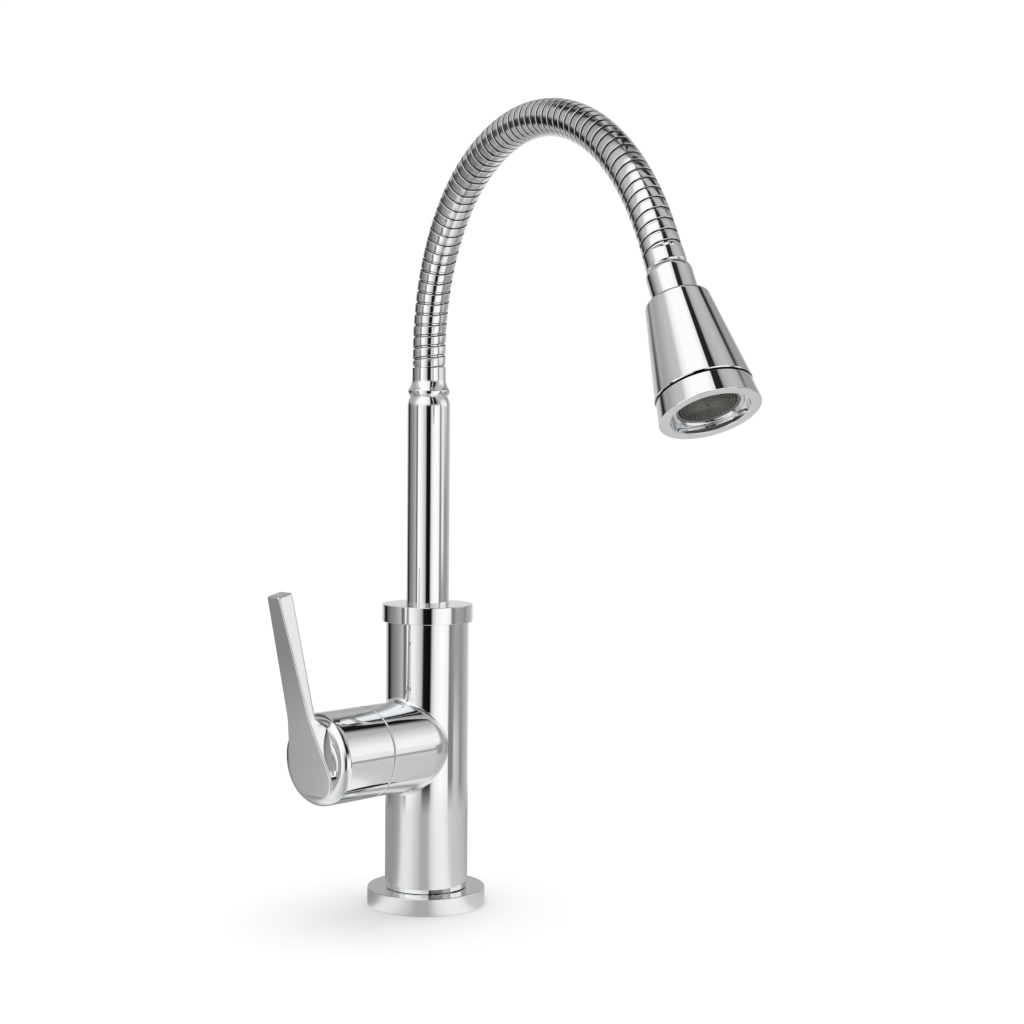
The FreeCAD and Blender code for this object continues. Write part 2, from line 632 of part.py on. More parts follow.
def lever_outline(sketch, far):
    """Round lower end, straight flanks, a soft bend at the waist and a slow taper to the tip."""
    middle, radius, bend = -S.plate_drop.value, S.plate_radius.value, S.waist_bend.value
    waist = Vector(S.waist_level.value, S.waist_half.value, 0)
    tip = Vector(S.lever_reach.value + S.tip_depth.value, S.tip_half.value, 0)
    # flank from the waist, tangent to the round end
    to_end = Vector(middle, 0, 0) - waist
    reach = sqrt(to_end.Length ** 2 - radius ** 2)
    swing = atan2(radius, reach)
    heading = atan2(to_end.y, to_end.x) - swing
    flank = Vector(cos(heading), sin(heading), 0)
    touch = waist + flank * reach
    taper = (tip - waist).normalize()
    # bend at the waist, tangent to the flank and to the taper
    half_turn = (pi - acos(flank.dot(taper))) / 2
    back = bend * tan(half_turn)
    low, high = waist + flank * back, waist + taper * back
    bisector = (flank + taper).normalize()
    hinge = waist + bisector * (bend / cos(half_turn))
    touch_angle = atan2(touch.y, touch.x - middle)

    def mirrored(point):
        return Vector(point.x, -point.y, 0)

    end = Part.Circle(Vector(middle, 0, 0), Vector(0, 0, 1), radius)
    start = sketch.GeometryCount
    sketch.addGeometry(Part.ArcOfCircle(end, touch_angle, 2 * pi - touch_angle), False)
    bind(sketch, Sketcher.Constraint("Radius", start, radius), S.plate_radius)
    bind_point(sketch, start, 3, -S.plate_drop, 0)
    tips = []
    for side in (1, -1):
        def placed(point):
            return point if side > 0 else mirrored(point)
        first = sketch.GeometryCount
        sketch.addGeometry(Part.LineSegment(placed(touch), placed(low)), False)
        ring = Part.Circle(placed(hinge), Vector(0, 0, 1), bend)
        ends = (placed(low), placed(high)) if side > 0 else (placed(high), placed(low))
        sketch.addGeometry(Part.ArcOfCircle(ring, ring.parameter(ends[0]), ring.parameter(ends[1])), False)
        sketch.addGeometry(Part.LineSegment(placed(high), placed(tip)), False)
        sketch.addGeometry(Part.Point(placed(waist)), False)
        at_low, at_high = (1, 2) if side > 0 else (2, 1)
        sketch.addConstraint(Sketcher.Constraint("Tangent", start, 1 if side > 0 else 2, first, 1))
        sketch.addConstraint(Sketcher.Constraint("Tangent", first, 2, first + 1, at_low))
        sketch.addConstraint(Sketcher.Constraint("Tangent", first + 1, at_high, first + 2, 1))
        bind(sketch, Sketcher.Constraint("Radius", first + 1, bend), S.waist_bend)
        bind_point(sketch, first + 3, 1, S.waist_level, S.waist_half if side > 0 else -S.waist_half)
        sketch.addConstraint(Sketcher.Constraint("PointOnObject", first + 3, 1, first))
        sketch.addConstraint(Sketcher.Constraint("PointOnObject", first + 3, 1, first + 2))
        sketch.setConstruction(first + 3, True)
        bind_point(sketch, first + 2, 2, S.lever_reach + S.tip_depth, S.tip_half if side > 0 else -S.tip_half)
        tips.append(first + 2)
    last = sketch.addGeometry(Part.LineSegment(tip, mirrored(tip)), False)
    sketch.addConstraint(Sketcher.Constraint("Coincident", tips[0], 2, last, 1))
    sketch.addConstraint(Sketcher.Constraint("Coincident", tips[1], 2, last, 2))


def front_edges(body):
    """The edges round the lever's outer face."""
    out = Vector(-sin(radians(S.plate_tilt.value)), 0, cos(radians(S.plate_tilt.value)))
    names = []
    for index, edge in enumerate(body.Tip.Shape.Edges, start=1):
        off = max(abs((point - Vector(0, 0, S.plate_offset.value)).dot(out)) for point in edge.discretize(5))
        if off < 1e-3:
            names.append(f"Edge{index}")
    return names


def lever_tip():
    """The tip's outer and inner corners in the side view, as (up, 0, out)."""
    tilt, lean, reach, depth = (
        S.plate_tilt.value, S.tip_lean.value, S.lever_reach.value, S.tip_depth.value)
    outer = Vector(reach * cos(radians(tilt)), 0, S.plate_offset.value + reach * sin(radians(tilt)))
    return outer, outer + Vector(sin(radians(lean)), 0, -cos(radians(lean))) * depth


def tip_corners(body):
    """The two edges that run across the lever's thickness at its tip."""
    outer, inner = lever_tip()
    along = (inner - outer).normalize()
    out = Vector(-along.z, 0, along.x)
    names = []
    for index, edge in enumerate(body.Tip.Shape.Edges, start=1):
        points = edge.discretize(5)
        flat = max(abs((point - outer).dot(out)) for point in points) < 1e-3
        if flat and abs((points[-1] - points[0]).dot(along)) > 1:
            names.append(f"Edge{index}")
    return names


def back_edges(body):
    """The long edges of the lever's inner face, above the step down to the hub."""
    tip = lever_tip()[1]
    root = Vector(S.root_height.value, 0, S.hub_end.value + S.root_stand.value)
    along = (tip - root).normalize()
    out = Vector(-along.z, 0, along.x)
    names = []
    for index, edge in enumerate(body.Tip.Shape.Edges, start=1):
        points = edge.discretize(5)
        flat = max(abs((point - root).dot(out)) for point in points) < 1e-3
        if flat and abs((points[-1] - points[0]).dot(along)) > 1:
            names.append(f"Edge{index}")
    return names


def plug_foot():
    return S.boss_radius - S.plug_recess - S.plug_depth


def below_stem(label, foot, length, radius):
    """A round piece that lies along the screw's hole, below the stem."""
    rod = doc.addObject("Part::Cylinder", label)
    rod.Label = label
    rod.setExpression("Radius", radius.text)
    rod.setExpression("Height", length.text)
    doc.recompute()
    down = Placement(Vector(-float(foot), 0, S.screw_level.value), Rotation(Vector(0, 1, 0), -90))
    rod.Placement = VALVE.multiply(down)
    PARTS.append(rod)


# ---------------------------------------------------------------- swivel and riser

def top_collar():
    lip = S.riser_radius + S.lip_gap
    seat = S.riser_radius + S.swivel_gap + S.bush_wall + S.bush_fit
    top = S.column_top + S.collar_height
    body = turned("top_collar", [
        (seat, LEVEL.thread), (S.collar_thread, LEVEL.thread), (S.collar_thread, S.column_top),
        (S.collar_radius, S.column_top), (S.collar_radius, top), (lip, top), (lip, top - S.collar_lip),
        (seat, top - S.collar_lip),
    ])
    eased(body, "Chamfer", rims(body, S.collar_radius, top) + rims(body, S.collar_radius, S.column_top),
          S.collar_edge)


def swivel_bushes():
    inner = S.riser_radius + S.swivel_gap
    top = S.column_top + S.collar_height - S.collar_lip
    turned("upper_swivel_bush", [
        (inner, LEVEL.thread - S.bush_flange), (S.swivel_radius, LEVEL.thread - S.bush_flange),
        (S.swivel_radius, LEVEL.thread), (inner + S.bush_wall, LEVEL.thread), (inner + S.bush_wall, top),
        (inner, top),
    ])
    turned("lower_swivel_bush", ring_section(
        S.spigot_radius + S.swivel_gap * 2, S.swivel_radius, LEVEL.ledge, LEVEL.ledge + S.washer_thickness))


def riser_foot():
    foot = LEVEL.bore + S.spigot_end_gap
    root = S.spigot_radius - S.ring_depth
    neck = S.riser_radius - S.riser_wall - S.press_fit
    neck_top = LEVEL.shoulder_top + S.foot_neck
    ring_top = LEVEL.shoulder - S.ring_drop
    turned("riser_foot", [
        (S.spigot_bore, foot), (S.spigot_radius, foot), (S.spigot_radius, ring_top - S.ring_height),
        (root, ring_top - S.ring_height), (root, ring_top), (S.spigot_radius, ring_top),
        (S.spigot_radius, LEVEL.shoulder), (S.swivel_radius, LEVEL.shoulder),
        (S.swivel_radius, LEVEL.shoulder_top), (neck, LEVEL.shoulder_top), (neck, neck_top),
        (S.spigot_bore, neck_top),
    ], placement=SPOUT)
    turned("spout_seal_ring", ring_section(root, S.spigot_radius, ring_top - S.ring_height, ring_top),
           placement=SPOUT)


def riser_tube():
    """Straight tube whose top is rolled in to meet the ferrule."""
    inner, waist = S.riser_radius - S.riser_wall, S.riser_radius - S.roll_depth
    top = S.riser_top + S.roll_height
    outside = roll(S.roll_depth, S.roll_height)
    turned("riser_tube", [
        (inner, LEVEL.shoulder_top), (S.riser_radius, LEVEL.shoulder_top),
        (S.riser_radius, S.riser_top, outside, 1), (waist, top),
        (waist - S.riser_wall, top, outside - S.riser_wall, -1), (inner, S.riser_top),
    ], placement=SPOUT)


def lower_ferrule():
    """Collar with a crest and a flare, pressed into the riser, that grips the hose's lower end."""
    seam = S.riser_top + S.roll_height
    crest = seam + S.crest_height
    flare = crest + S.flare_height
    waist, widest = S.riser_radius - S.roll_depth, S.riser_radius - S.crest_step
    bore, shaft = S.crimp_radius + S.crimp_fit, S.barb_shaft + S.crimp_fit
    ledge = HOSE_FOOT - S.crimp_length - S.barb_flange
    skirt = S.riser_radius - S.riser_wall - S.roll_depth - S.press_fit
    body = turned("lower_ferrule", [
        (shaft, seam - S.skirt_length), (skirt, seam - S.skirt_length), (skirt, seam),
        (waist, seam, roll(widest - waist, S.crest_height), 1),
        (widest, crest, roll(widest - S.sleeve_radius, S.flare_height), -1),
        (S.sleeve_radius, flare), (S.sleeve_radius, HOSE_FOOT), (bore, HOSE_FOOT), (bore, ledge),
        (shaft, ledge),
    ], placement=SPOUT)
    eased(body, "Chamfer", rims(body, widest, crest), S.crest_edge)


# ---------------------------------------------------------------- gooseneck

def barb(label, seat, side, placement):
    """Tube fitting: ridged barb to one side of its seat (1 up, -1 down), flange and shaft to the other."""
    def along(step):
        return seat + as_size(step) * side
    shaft_end = -(S.barb_flange + S.barb_shaft_length)
    points = [(S.barb_bore, along(shaft_end)), (S.barb_bore, along(S.barb_length))]
    for ridge in range(2):
        tip = S.barb_length - S.barb_pitch * ridge
        points += [(S.barb_root, along(tip)), (S.barb_radius, along(tip - S.barb_pitch))]
    points += [(S.barb_root, along(S.barb_length - S.barb_pitch * 2)), (S.barb_root, along(0)),
               (S.crimp_radius, along(0)), (S.crimp_radius, along(-S.barb_flange)),
               (S.barb_shaft, along(-S.barb_flange)), (S.barb_shaft, along(shaft_end))]
    turned(label, points, placement=placement)


def ring_wire(distance, radius):
    """A circle square to the hose's middle line, its seam always on the outside of the bend."""
    reach, height, lean = hose_point(distance)
    along = Vector(sin(lean), 0, cos(lean))
    ring = Part.Circle(Vector(reach, 0, height), along, radius)
    ring.XAxis = Vector(cos(lean), 0, -sin(lean))
    return Part.Wire(ring.toShape())


def ruled(rings):
    return Part.makeLoft([ring_wire(distance, radius) for distance, radius in rings], True, True)


def spaced(start, end, radius):
    """Rings of one radius along the hose, one for every third rib, with the ends at start and end."""
    step = HOSE_LENGTH / S.rib_count.value * 3
    count = round(HOSE_LENGTH / step)
    inner = [index * HOSE_LENGTH / count for index in range(count + 1)]
    return [(distance, radius) for distance in [start, *inner, end]]


def loose(label, shape):
    """A piece whose shape follows the hose's bend."""
    piece = doc.addObject("Part::Feature", label)
    piece.Label = label
    piece.Shape = shape
    piece.Placement = SPOUT
    PARTS.append(piece)


def gooseneck_hose():
    """Ribs by a ruled loft: each rises from its groove to a flat crest and falls to the next groove."""
    start, end = -S.crimp_length.value, HOSE_LENGTH + S.crimp_length.value
    crimp, groove, crest = S.crimp_radius.value, S.groove_radius.value, S.hose_radius.value
    count = round(S.rib_count.value)
    pitch = HOSE_LENGTH / count
    ramp = (pitch - S.rib_flat.value) / 2
    rings = [(0.0, groove)]
    for rib in range(count):
        foot = rib * pitch
        rings += [(foot + ramp, crest), (foot + pitch - ramp, crest), (foot + pitch, groove)]
    cover = ruled(rings)
    spigots = [ruled([(start, crimp), (0.0, crimp)]), ruled([(HOSE_LENGTH, crimp), (end, crimp)])]
    bore = ruled(spaced(start - 1, end + 1, S.hose_bore.value))
    loose("gooseneck_hose", cover.fuse(spigots).cut(bore))


def inner_water_tube():
    start, end = -S.crimp_length.value, HOSE_LENGTH + S.crimp_length.value
    wall = ruled(spaced(start, end, S.tube_outer.value))
    loose("inner_water_tube", wall.cut(ruled(spaced(start - 1, end + 1, S.tube_bore.value))))


# ---------------------------------------------------------------- head

def head_levels():
    """Distances from the hose's end, along the head's axis."""
    groove = S.upper_sleeve + S.upper_round
    neck_end = groove + S.neck_length
    shell_end = neck_end + S.shell_length
    ring_top = shell_end + S.seam_gap
    ring_end = ring_top + S.ring_length
    floor = ring_end - S.recess_depth
    return SimpleNamespace(
        groove=groove, ledge=S.crimp_length + S.barb_flange + S.washer_height, neck_end=neck_end,
        web=neck_end + S.shell_web, thread=shell_end - S.shell_thread_length, shell_end=shell_end,
        ring_top=ring_top, ring_end=ring_end, floor=floor, seat=floor - S.aerator_length)


DOWN = head_levels()


def upper_ferrule():
    bore = S.crimp_radius + S.crimp_fit
    turned("upper_ferrule", [
        (bore, 0), (S.sleeve_radius, 0),
        (S.sleeve_radius, S.upper_sleeve, roll(S.sleeve_radius - S.upper_neck, S.upper_round), 1),
        (S.upper_neck, DOWN.groove), (S.barrel_radius, DOWN.groove), (S.barrel_radius, DOWN.ledge),
        (bore, DOWN.ledge),
    ], placement=HEAD)


def head_neck():
    dome = roll(S.neck_radius - S.upper_neck, S.dome_height)
    inner, shaft = S.barrel_radius + S.neck_fit, S.barb_shaft + S.crimp_fit
    turned("head_neck", [
        (inner, DOWN.groove), (S.upper_neck, DOWN.groove, dome, 1),
        (S.neck_radius, DOWN.groove + S.dome_height), (S.neck_radius, DOWN.neck_end),
        (S.neck_thread, DOWN.neck_end), (S.neck_thread, DOWN.web), (shaft, DOWN.web), (shaft, DOWN.ledge),
        (inner, DOWN.ledge),
    ], placement=HEAD)
    turned("neck_washer", ring_section(
        shaft, S.crimp_radius, DOWN.ledge - S.washer_height, DOWN.ledge), placement=HEAD)


def head_shell():
    slope = (S.shell_bottom_radius - S.shell_top_radius) / S.shell_length
    inner = S.shell_top_radius - S.shell_wall
    bore = S.neck_thread + S.neck_fit
    turned("head_shell", [
        (bore, DOWN.neck_end), (S.shell_top_radius - S.shell_round, DOWN.neck_end, S.shell_round, 1),
        (S.shell_top_radius, DOWN.neck_end + S.shell_round), (S.shell_bottom_radius, DOWN.shell_end),
        (S.shell_thread, DOWN.shell_end), (S.shell_thread, DOWN.thread),
        (inner + slope * (DOWN.thread - DOWN.neck_end), DOWN.thread),
        (inner + slope * (DOWN.web - DOWN.neck_end), DOWN.web), (bore, DOWN.web),
    ], placement=HEAD)


def outlet_ring():
    thread = S.shell_thread - S.thread_fit
    seat = S.aerator_radius + S.aerator_fit
    body = turned("outlet_ring", [
        (S.ledge_radius, DOWN.thread), (thread, DOWN.thread), (thread, DOWN.shell_end),
        (S.ring_radius - S.seam_depth, DOWN.shell_end), (S.ring_radius - S.seam_depth, DOWN.ring_top),
        (S.ring_radius, DOWN.ring_top), (S.ring_radius, DOWN.ring_end), (S.outlet_bore, DOWN.ring_end),
        (S.outlet_bore, DOWN.floor), (seat, DOWN.floor), (seat, DOWN.seat), (S.ledge_radius, DOWN.seat),
    ], placement=HEAD)
    eased(body, "Chamfer", rims(body, S.ring_radius, DOWN.ring_top) + rims(body, S.ring_radius, DOWN.ring_end),
          S.ring_edge)


def aerator():
    """Sealing washer, threaded housing, flow core and outlet screen, stacked into the outlet ring."""
    body_foot = DOWN.seat + S.washer_height
    ledge = body_foot + S.ledge_height
    mouth = DOWN.floor + S.aerator_lip
    inner = S.aerator_radius - S.aerator_wall
    core = inner - S.aerator_gap
    screen_end = mouth - S.screen_depth
    screen = screen_end - S.screen_thickness
    turned("aerator_washer", ring_section(S.ledge_radius, S.aerator_radius, DOWN.seat, body_foot),
           placement=HEAD)
    turned("aerator_housing", [
        (S.ledge_radius, body_foot), (S.aerator_radius, body_foot), (S.aerator_radius, mouth),
        (inner, mouth), (inner, ledge), (S.ledge_radius, ledge),
    ], placement=HEAD)
    body = turned("aerator_core", [
        (0, ledge), (core, ledge), (core, screen), (core - S.core_rim, screen),
        (core - S.core_rim, ledge + S.core_thickness), (0, ledge + S.core_thickness),
    ], placement=HEAD)
    patterned(body, drilled(body, ledge, S.core_thickness, [(S.core_ring, 0)], S.core_hole), 6)
    body = turned("aerator_screen", ring_section(0, core, screen, screen_end), placement=HEAD)
    for inside, outside, count in ((S.window_inner, S.window_middle, 6),
                                   (S.window_middle + S.window_bar, S.window_outer, 12)):
        patterned(body, window(body, inside, outside, count, screen), count)


def window(body, inside, outside, count, level):
    """One opening of the screen: straight sides, a bar's width between it and the next."""
    sketch = sketch_on(body, "XY_Plane")
    sketch.setExpression("AttachmentOffset.Base.z", level.text)
    near = inside * tan(pi / count) - S.window_bar / 2
    far = outside * tan(pi / count) - S.window_bar / 2
    outline(sketch, [(inside, -near), (outside, -far), (outside, far), (inside, near)])
    return feature(body, "Pocket", sketch, Length=S.screen_thickness, Reversed=True)


# ---------------------------------------------------------------- the faucet

base_flange()
base_gasket()
foot_ring()
valve_body()
cartridge_base()
cartridge_seals()
fixed_disc()
moving_disc()
disc_driver()
cartridge_housing()
cartridge_stem()
cartridge_nut()
handle_lever()
below_stem("set_screw", S.screw_flat, S.screw_length, S.screw_radius)
below_stem("screw_plug", plug_foot(), S.plug_depth, S.plug_radius)
top_collar()
swivel_bushes()
riser_foot()
riser_tube()
lower_ferrule()
barb("lower_hose_barb", HOSE_FOOT - S.crimp_length, 1, SPOUT)
gooseneck_hose()
inner_water_tube()
upper_ferrule()
barb("upper_hose_barb", S.crimp_length, -1, HEAD)
head_neck()
head_shell()
outlet_ring()
aerator()
doc.recompute()

for item in doc.Objects:
    if "Invalid" in item.State or "Error" in item.State:
        raise RuntimeError(f"{item.Label} failed: {item.State}")
for piece in PARTS:
    if piece.Shape.isNull() or not piece.Shape.isValid():
        raise RuntimeError(f"{piece.Label} has no valid shape")

os.makedirs("parts", exist_ok=True)
for piece in PARTS:
    piece.Shape.exportStep(f"parts/{piece.Label}.step")
print(f"{len(PARTS)} pieces, hose {HOSE_LENGTH:.1f} mm long in view, outlet at "
      f"{HEAD.multVec(Vector(0, 0, DOWN.ring_end.value))}")
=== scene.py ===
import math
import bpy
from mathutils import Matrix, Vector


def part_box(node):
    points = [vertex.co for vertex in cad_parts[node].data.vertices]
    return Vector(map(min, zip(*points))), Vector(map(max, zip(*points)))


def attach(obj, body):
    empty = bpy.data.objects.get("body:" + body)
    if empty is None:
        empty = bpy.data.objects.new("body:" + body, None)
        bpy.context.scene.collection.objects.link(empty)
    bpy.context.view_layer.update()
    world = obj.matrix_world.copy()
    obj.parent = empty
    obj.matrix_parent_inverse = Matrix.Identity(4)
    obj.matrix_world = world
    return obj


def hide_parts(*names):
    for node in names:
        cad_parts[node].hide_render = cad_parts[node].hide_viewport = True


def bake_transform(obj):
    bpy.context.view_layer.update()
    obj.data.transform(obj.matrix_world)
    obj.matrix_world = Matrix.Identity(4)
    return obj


bl_info = {
    "name": "Gooseneck Bar Faucet",
    "version": (1, 0, 0),
    "blender": (4, 5, 0),
    "location": "View3D > Sidebar > Bar Faucet",
    "description": "Polished skins, wound gooseneck and aerator screen for a single-lever bar faucet",
    "category": "Object",
}

import bpy
from bpy.props import FloatProperty, FloatVectorProperty, IntProperty, PointerProperty
from mathutils import Matrix, Vector

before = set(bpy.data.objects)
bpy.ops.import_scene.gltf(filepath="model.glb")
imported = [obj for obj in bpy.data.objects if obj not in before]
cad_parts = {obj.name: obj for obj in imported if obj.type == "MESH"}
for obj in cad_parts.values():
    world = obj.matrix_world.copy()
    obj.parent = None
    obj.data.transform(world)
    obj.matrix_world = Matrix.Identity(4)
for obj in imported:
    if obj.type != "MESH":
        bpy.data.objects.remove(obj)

MM = 0.001
WELD = 0.001 * MM
SHARP_EDGE = math.radians(40.0)
LATHE_STEPS = 144


# ---------------------------------------------------------------- places read from the frame

def width(node):
    """The node's size along X, which is a round piece's diameter."""
    low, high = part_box(node)
    return high.x - low.x


def floor_of(node):
    """The level of the node's lowest point."""
    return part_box(node)[0].z


def top_of(node):
    """The level of the node's highest point."""
    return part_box(node)[1].z


RISER_TOP = top_of("riser_tube")
HOSE_FOOT = top_of("lower_ferrule")


# ---------------------------------------------------------------- sizes that pieces share

SPOUT_SWING = math.radians(20.0)
HUB_RADIUS = 23.0 * MM

# The riser's top is rolled in by this much over this length, to the waist that the ferrule stands on.
ROLL_IN = 1.45 * MM
ROLL_LENGTH = 5.0 * MM
RISER_WAIST = width("riser_tube") / 2 - ROLL_IN

# Both ferrules: outer radius, the radius that grips the hose, and the waterway beyond it.
SLEEVE_RADIUS = 8.75 * MM
GRIP_RADIUS = 7.25 * MM
WATERWAY_RADIUS = 6.45 * MM

# The hose's plain ends inside the ferrules, its bore, and how many rings its inner wall bends by.
CRIMP_RADIUS = 7.2 * MM
CRIMP_DEPTH = 9.0 * MM
BORE_RADIUS = 6.4 * MM
BEND_RINGS = 96

# Levels along the head, from the hose's end to the outlet.
GROOVE_LEVEL = 6.2 * MM
LEDGE_LEVEL = 13.5 * MM
NECK_END = 21.5 * MM
WEB_END = 27.5 * MM
SHELL_THREAD = 56.0 * MM
SHELL_END = 64.2 * MM
RING_TOP = 64.9 * MM

# Radii where the head's pieces meet.
NECK_WAIST = 8.2 * MM
RING_SEAT = 17.9 * MM


# ---------------------------------------------------------------- settings shown in the sidebar

class FaucetGooseneck(bpy.types.PropertyGroup):
    """Sizes of the wound hose and of the line that it follows."""

    rib_radius: FloatProperty(name="Rib radius", default=8.55 * MM, unit="LENGTH",
                              description="Radius of the hose over its turns")
    groove_radius: FloatProperty(name="Groove radius", default=7.85 * MM, unit="LENGTH",
                                 description="Radius at the bottom of the grooves")
    groove_width: FloatProperty(name="Groove width", default=1.4 * MM, unit="LENGTH",
                                description="Width of the groove between two turns of the strip")
    turns: IntProperty(name="Turns", default=58, description="Turns of the strip along the hose")
    tightening: FloatProperty(name="Tightening", default=0.06, min=0.0, max=0.3,
                              description="How much wider the first turns lie than the last")
    straight: FloatProperty(name="Straight ends", default=7.6 * MM, unit="LENGTH",
                            description="Straight stretch at each end of the hose")
    first_bend: FloatProperty(name="First bend", default=102.0 * MM, unit="LENGTH",
                              description="Bend radius above the riser")
    first_turn: FloatProperty(name="First turn", default=math.radians(59.2), subtype="ANGLE",
                              description="Angle of the first bend")
    last_bend: FloatProperty(name="Last bend", default=124.7 * MM, unit="LENGTH",
                             description="Bend radius over the top and down to the head")
    last_turn: FloatProperty(name="Last turn", default=math.radians(91.2), subtype="ANGLE",
                             description="Angle of the last bend")


class FaucetFinish(bpy.types.PropertyGroup):
    """Colours of the finishes."""

    chrome: FloatVectorProperty(name="Chrome", subtype="COLOR", size=3, min=0, max=1,
                                default=(0.86, 0.87, 0.88), description="Tint of the polished chrome")
    screen: FloatVectorProperty(name="Screen", subtype="COLOR", size=3, min=0, max=1,
                                default=(0.16, 0.155, 0.14), description="Colour of the aerator's plastic")
    floor: FloatVectorProperty(name="Floor", subtype="COLOR", size=3, min=0, max=1,
                               default=(0.92, 0.92, 0.92), description="Colour of the floor")


# ---------------------------------------------------------------- modelling helpers

def deselect():
    """Leaves edit mode and lets go of every object."""
    if bpy.context.object is not None and bpy.context.object.mode != "OBJECT":
        bpy.ops.object.mode_set(mode="OBJECT")
    bpy.ops.object.select_all(action="DESELECT")


def make_active(obj):
    """Selects this object alone."""
    deselect()
    obj.select_set(True)
    bpy.context.view_layer.objects.active = obj


def smooth(obj, degrees=32.0):
    """Shades the object smooth, except across edges sharper than the angle."""
    make_active(obj)
    bpy.ops.object.shade_smooth_by_angle(angle=math.radians(degrees))


def weigh_normals(obj):
    """Lets the broad faces set the shading, so that narrow edge rounds don't bend their reflections."""
    make_active(obj)
    weights = obj.modifiers.new("weights", "WEIGHTED_NORMAL")
    weights.keep_sharp = True
    weights.mode = "FACE_AREA_WITH_ANGLE"
    weights.weight = 90
    bpy.ops.object.modifier_apply(modifier=weights.name)


def select_where(test):
    """Selects the active mesh's vertices whose places pass the test, and stays in edit mode."""
    bpy.ops.object.mode_set(mode="OBJECT")
    mesh = bpy.context.object.data
    for item in (*mesh.edges, *mesh.polygons):
        item.select = False
    for vertex in mesh.vertices:
        vertex.select = test(vertex.co)
    bpy.ops.object.mode_set(mode="EDIT")
    bpy.ops.mesh.select_mode(type="VERT")


def arc(start, end, radius, side, steps=6):
    """Points of a short arc, without its start; its centre lies left (1) or right (-1) of the way."""
    first, last = Vector(start), Vector(end)
    chord = last - first
    rise = math.sqrt(max(0.0, radius ** 2 - (chord.length / 2) ** 2))
    centre = (first + last) / 2 + Vector((-chord.y, chord.x)).normalized() * rise * side
    opening = math.atan2(first.y - centre.y, first.x - centre.x)
    closing = math.atan2(last.y - centre.y, last.x - centre.x)
    swing = (closing - opening + math.pi) % (2 * math.pi) - math.pi
    angles = [opening + swing * step / steps for step in range(1, steps + 1)]
    return [(centre.x + radius * math.cos(angle), centre.y + radius * math.sin(angle)) for angle in angles]


def roll_radius(drift, run):
    """Radius of an arc that leaves along the run and drifts sideways."""
    return (drift ** 2 + run ** 2) / (2 * abs(drift))


def lathe(name, outline, edge=0.0, steps=LATHE_STEPS, place=None):
    """A ring-shaped piece: a circle is extruded and resized from point to point of a closed outline."""
    deselect()
    bpy.ops.mesh.primitive_circle_add(vertices=steps, radius=outline[0][0], location=(0, 0, 0))
    obj = bpy.context.object
    obj.name = obj.data.name = name
    bpy.ops.object.mode_set(mode="EDIT")
    bpy.ops.mesh.select_mode(type="VERT")
    bpy.ops.mesh.select_all(action="SELECT")
    bpy.ops.transform.translate(value=(0, 0, outline[0][1]))
    for (old_radius, old_level), (radius, level) in zip(outline, outline[1:] + outline[:1]):
        bpy.ops.mesh.extrude_edges_move(TRANSFORM_OT_translate={"value": (0, 0, level - old_level)})
        bpy.ops.transform.resize(value=(radius / old_radius, radius / old_radius, 1),
                                 center_override=(0, 0, level))
    bpy.ops.mesh.select_all(action="SELECT")
    bpy.ops.mesh.remove_doubles(threshold=WELD)
    bpy.ops.mesh.normals_make_consistent(inside=False)
    if edge:
        bpy.ops.mesh.select_all(action="DESELECT")
        bpy.ops.mesh.select_mode(type="EDGE")
        bpy.ops.mesh.edges_select_sharp(sharpness=SHARP_EDGE)
        bpy.ops.mesh.bevel(offset=edge, segments=3, affect="EDGES", clamp_overlap=True)
    bpy.ops.object.mode_set(mode="OBJECT")
    if place is not None:
        obj.data.transform(place)
    smooth(obj)
    weigh_normals(obj)
    return obj


def polished_copy(node, name, seam_at):
    """The frame's own shape, its loose triangles joined so that it takes smooth reflections."""
    deselect()
    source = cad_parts[node]
    obj = bpy.data.objects.new(name, source.data.copy())
    bpy.context.scene.collection.objects.link(obj)
    obj.data.name = name
    make_active(obj)
    bpy.ops.object.mode_set(mode="EDIT")
    bpy.ops.mesh.select_all(action="SELECT")
    bpy.ops.mesh.remove_doubles(threshold=WELD)
    bpy.ops.mesh.normals_make_consistent(inside=False)
    ease_seam(obj, seam_at)
    bpy.ops.object.mode_set(mode="OBJECT")
    smooth(obj, 28.0)
    weigh_normals(obj)
    return obj


def ease_seam(obj, seam_at):
    """Rounds the edge where the hub and the boss meet, at that place along X."""
    bpy.ops.mesh.select_mode(type="EDGE")
    bpy.ops.mesh.select_all(action="DESELECT")
    bpy.ops.mesh.edges_select_sharp(sharpness=SHARP_EDGE)
    bpy.ops.object.mode_set(mode="OBJECT")
    axis_level = floor_of("handle_lever") + HUB_RADIUS
    inside = HUB_RADIUS - 0.5 * MM
    points = obj.data.vertices

    def on_seam(point):
        return abs(point.x - seam_at) < 0.02 * MM and math.hypot(point.y, point.z - axis_level) > inside

    for edge in obj.data.edges:
        edge.select = edge.select and all(on_seam(points[index].co) for index in edge.vertices)
    for item in (*points, *obj.data.polygons):
        item.select = False
    for edge in obj.data.edges:
        if edge.select:
            for index in edge.vertices:
                points[index].select = True
    bpy.ops.object.mode_set(mode="EDIT")
    bpy.ops.mesh.bevel(offset=0.6 * MM, segments=3, affect="EDGES", clamp_overlap=True)


def finish_piece(obj, body, material, node):
    """The piece goes on its body in the node's place, with the given finish, and the node is hidden."""
    obj.data.materials.clear()
    obj.data.materials.append(material)
    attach(obj, body)
    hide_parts(node)


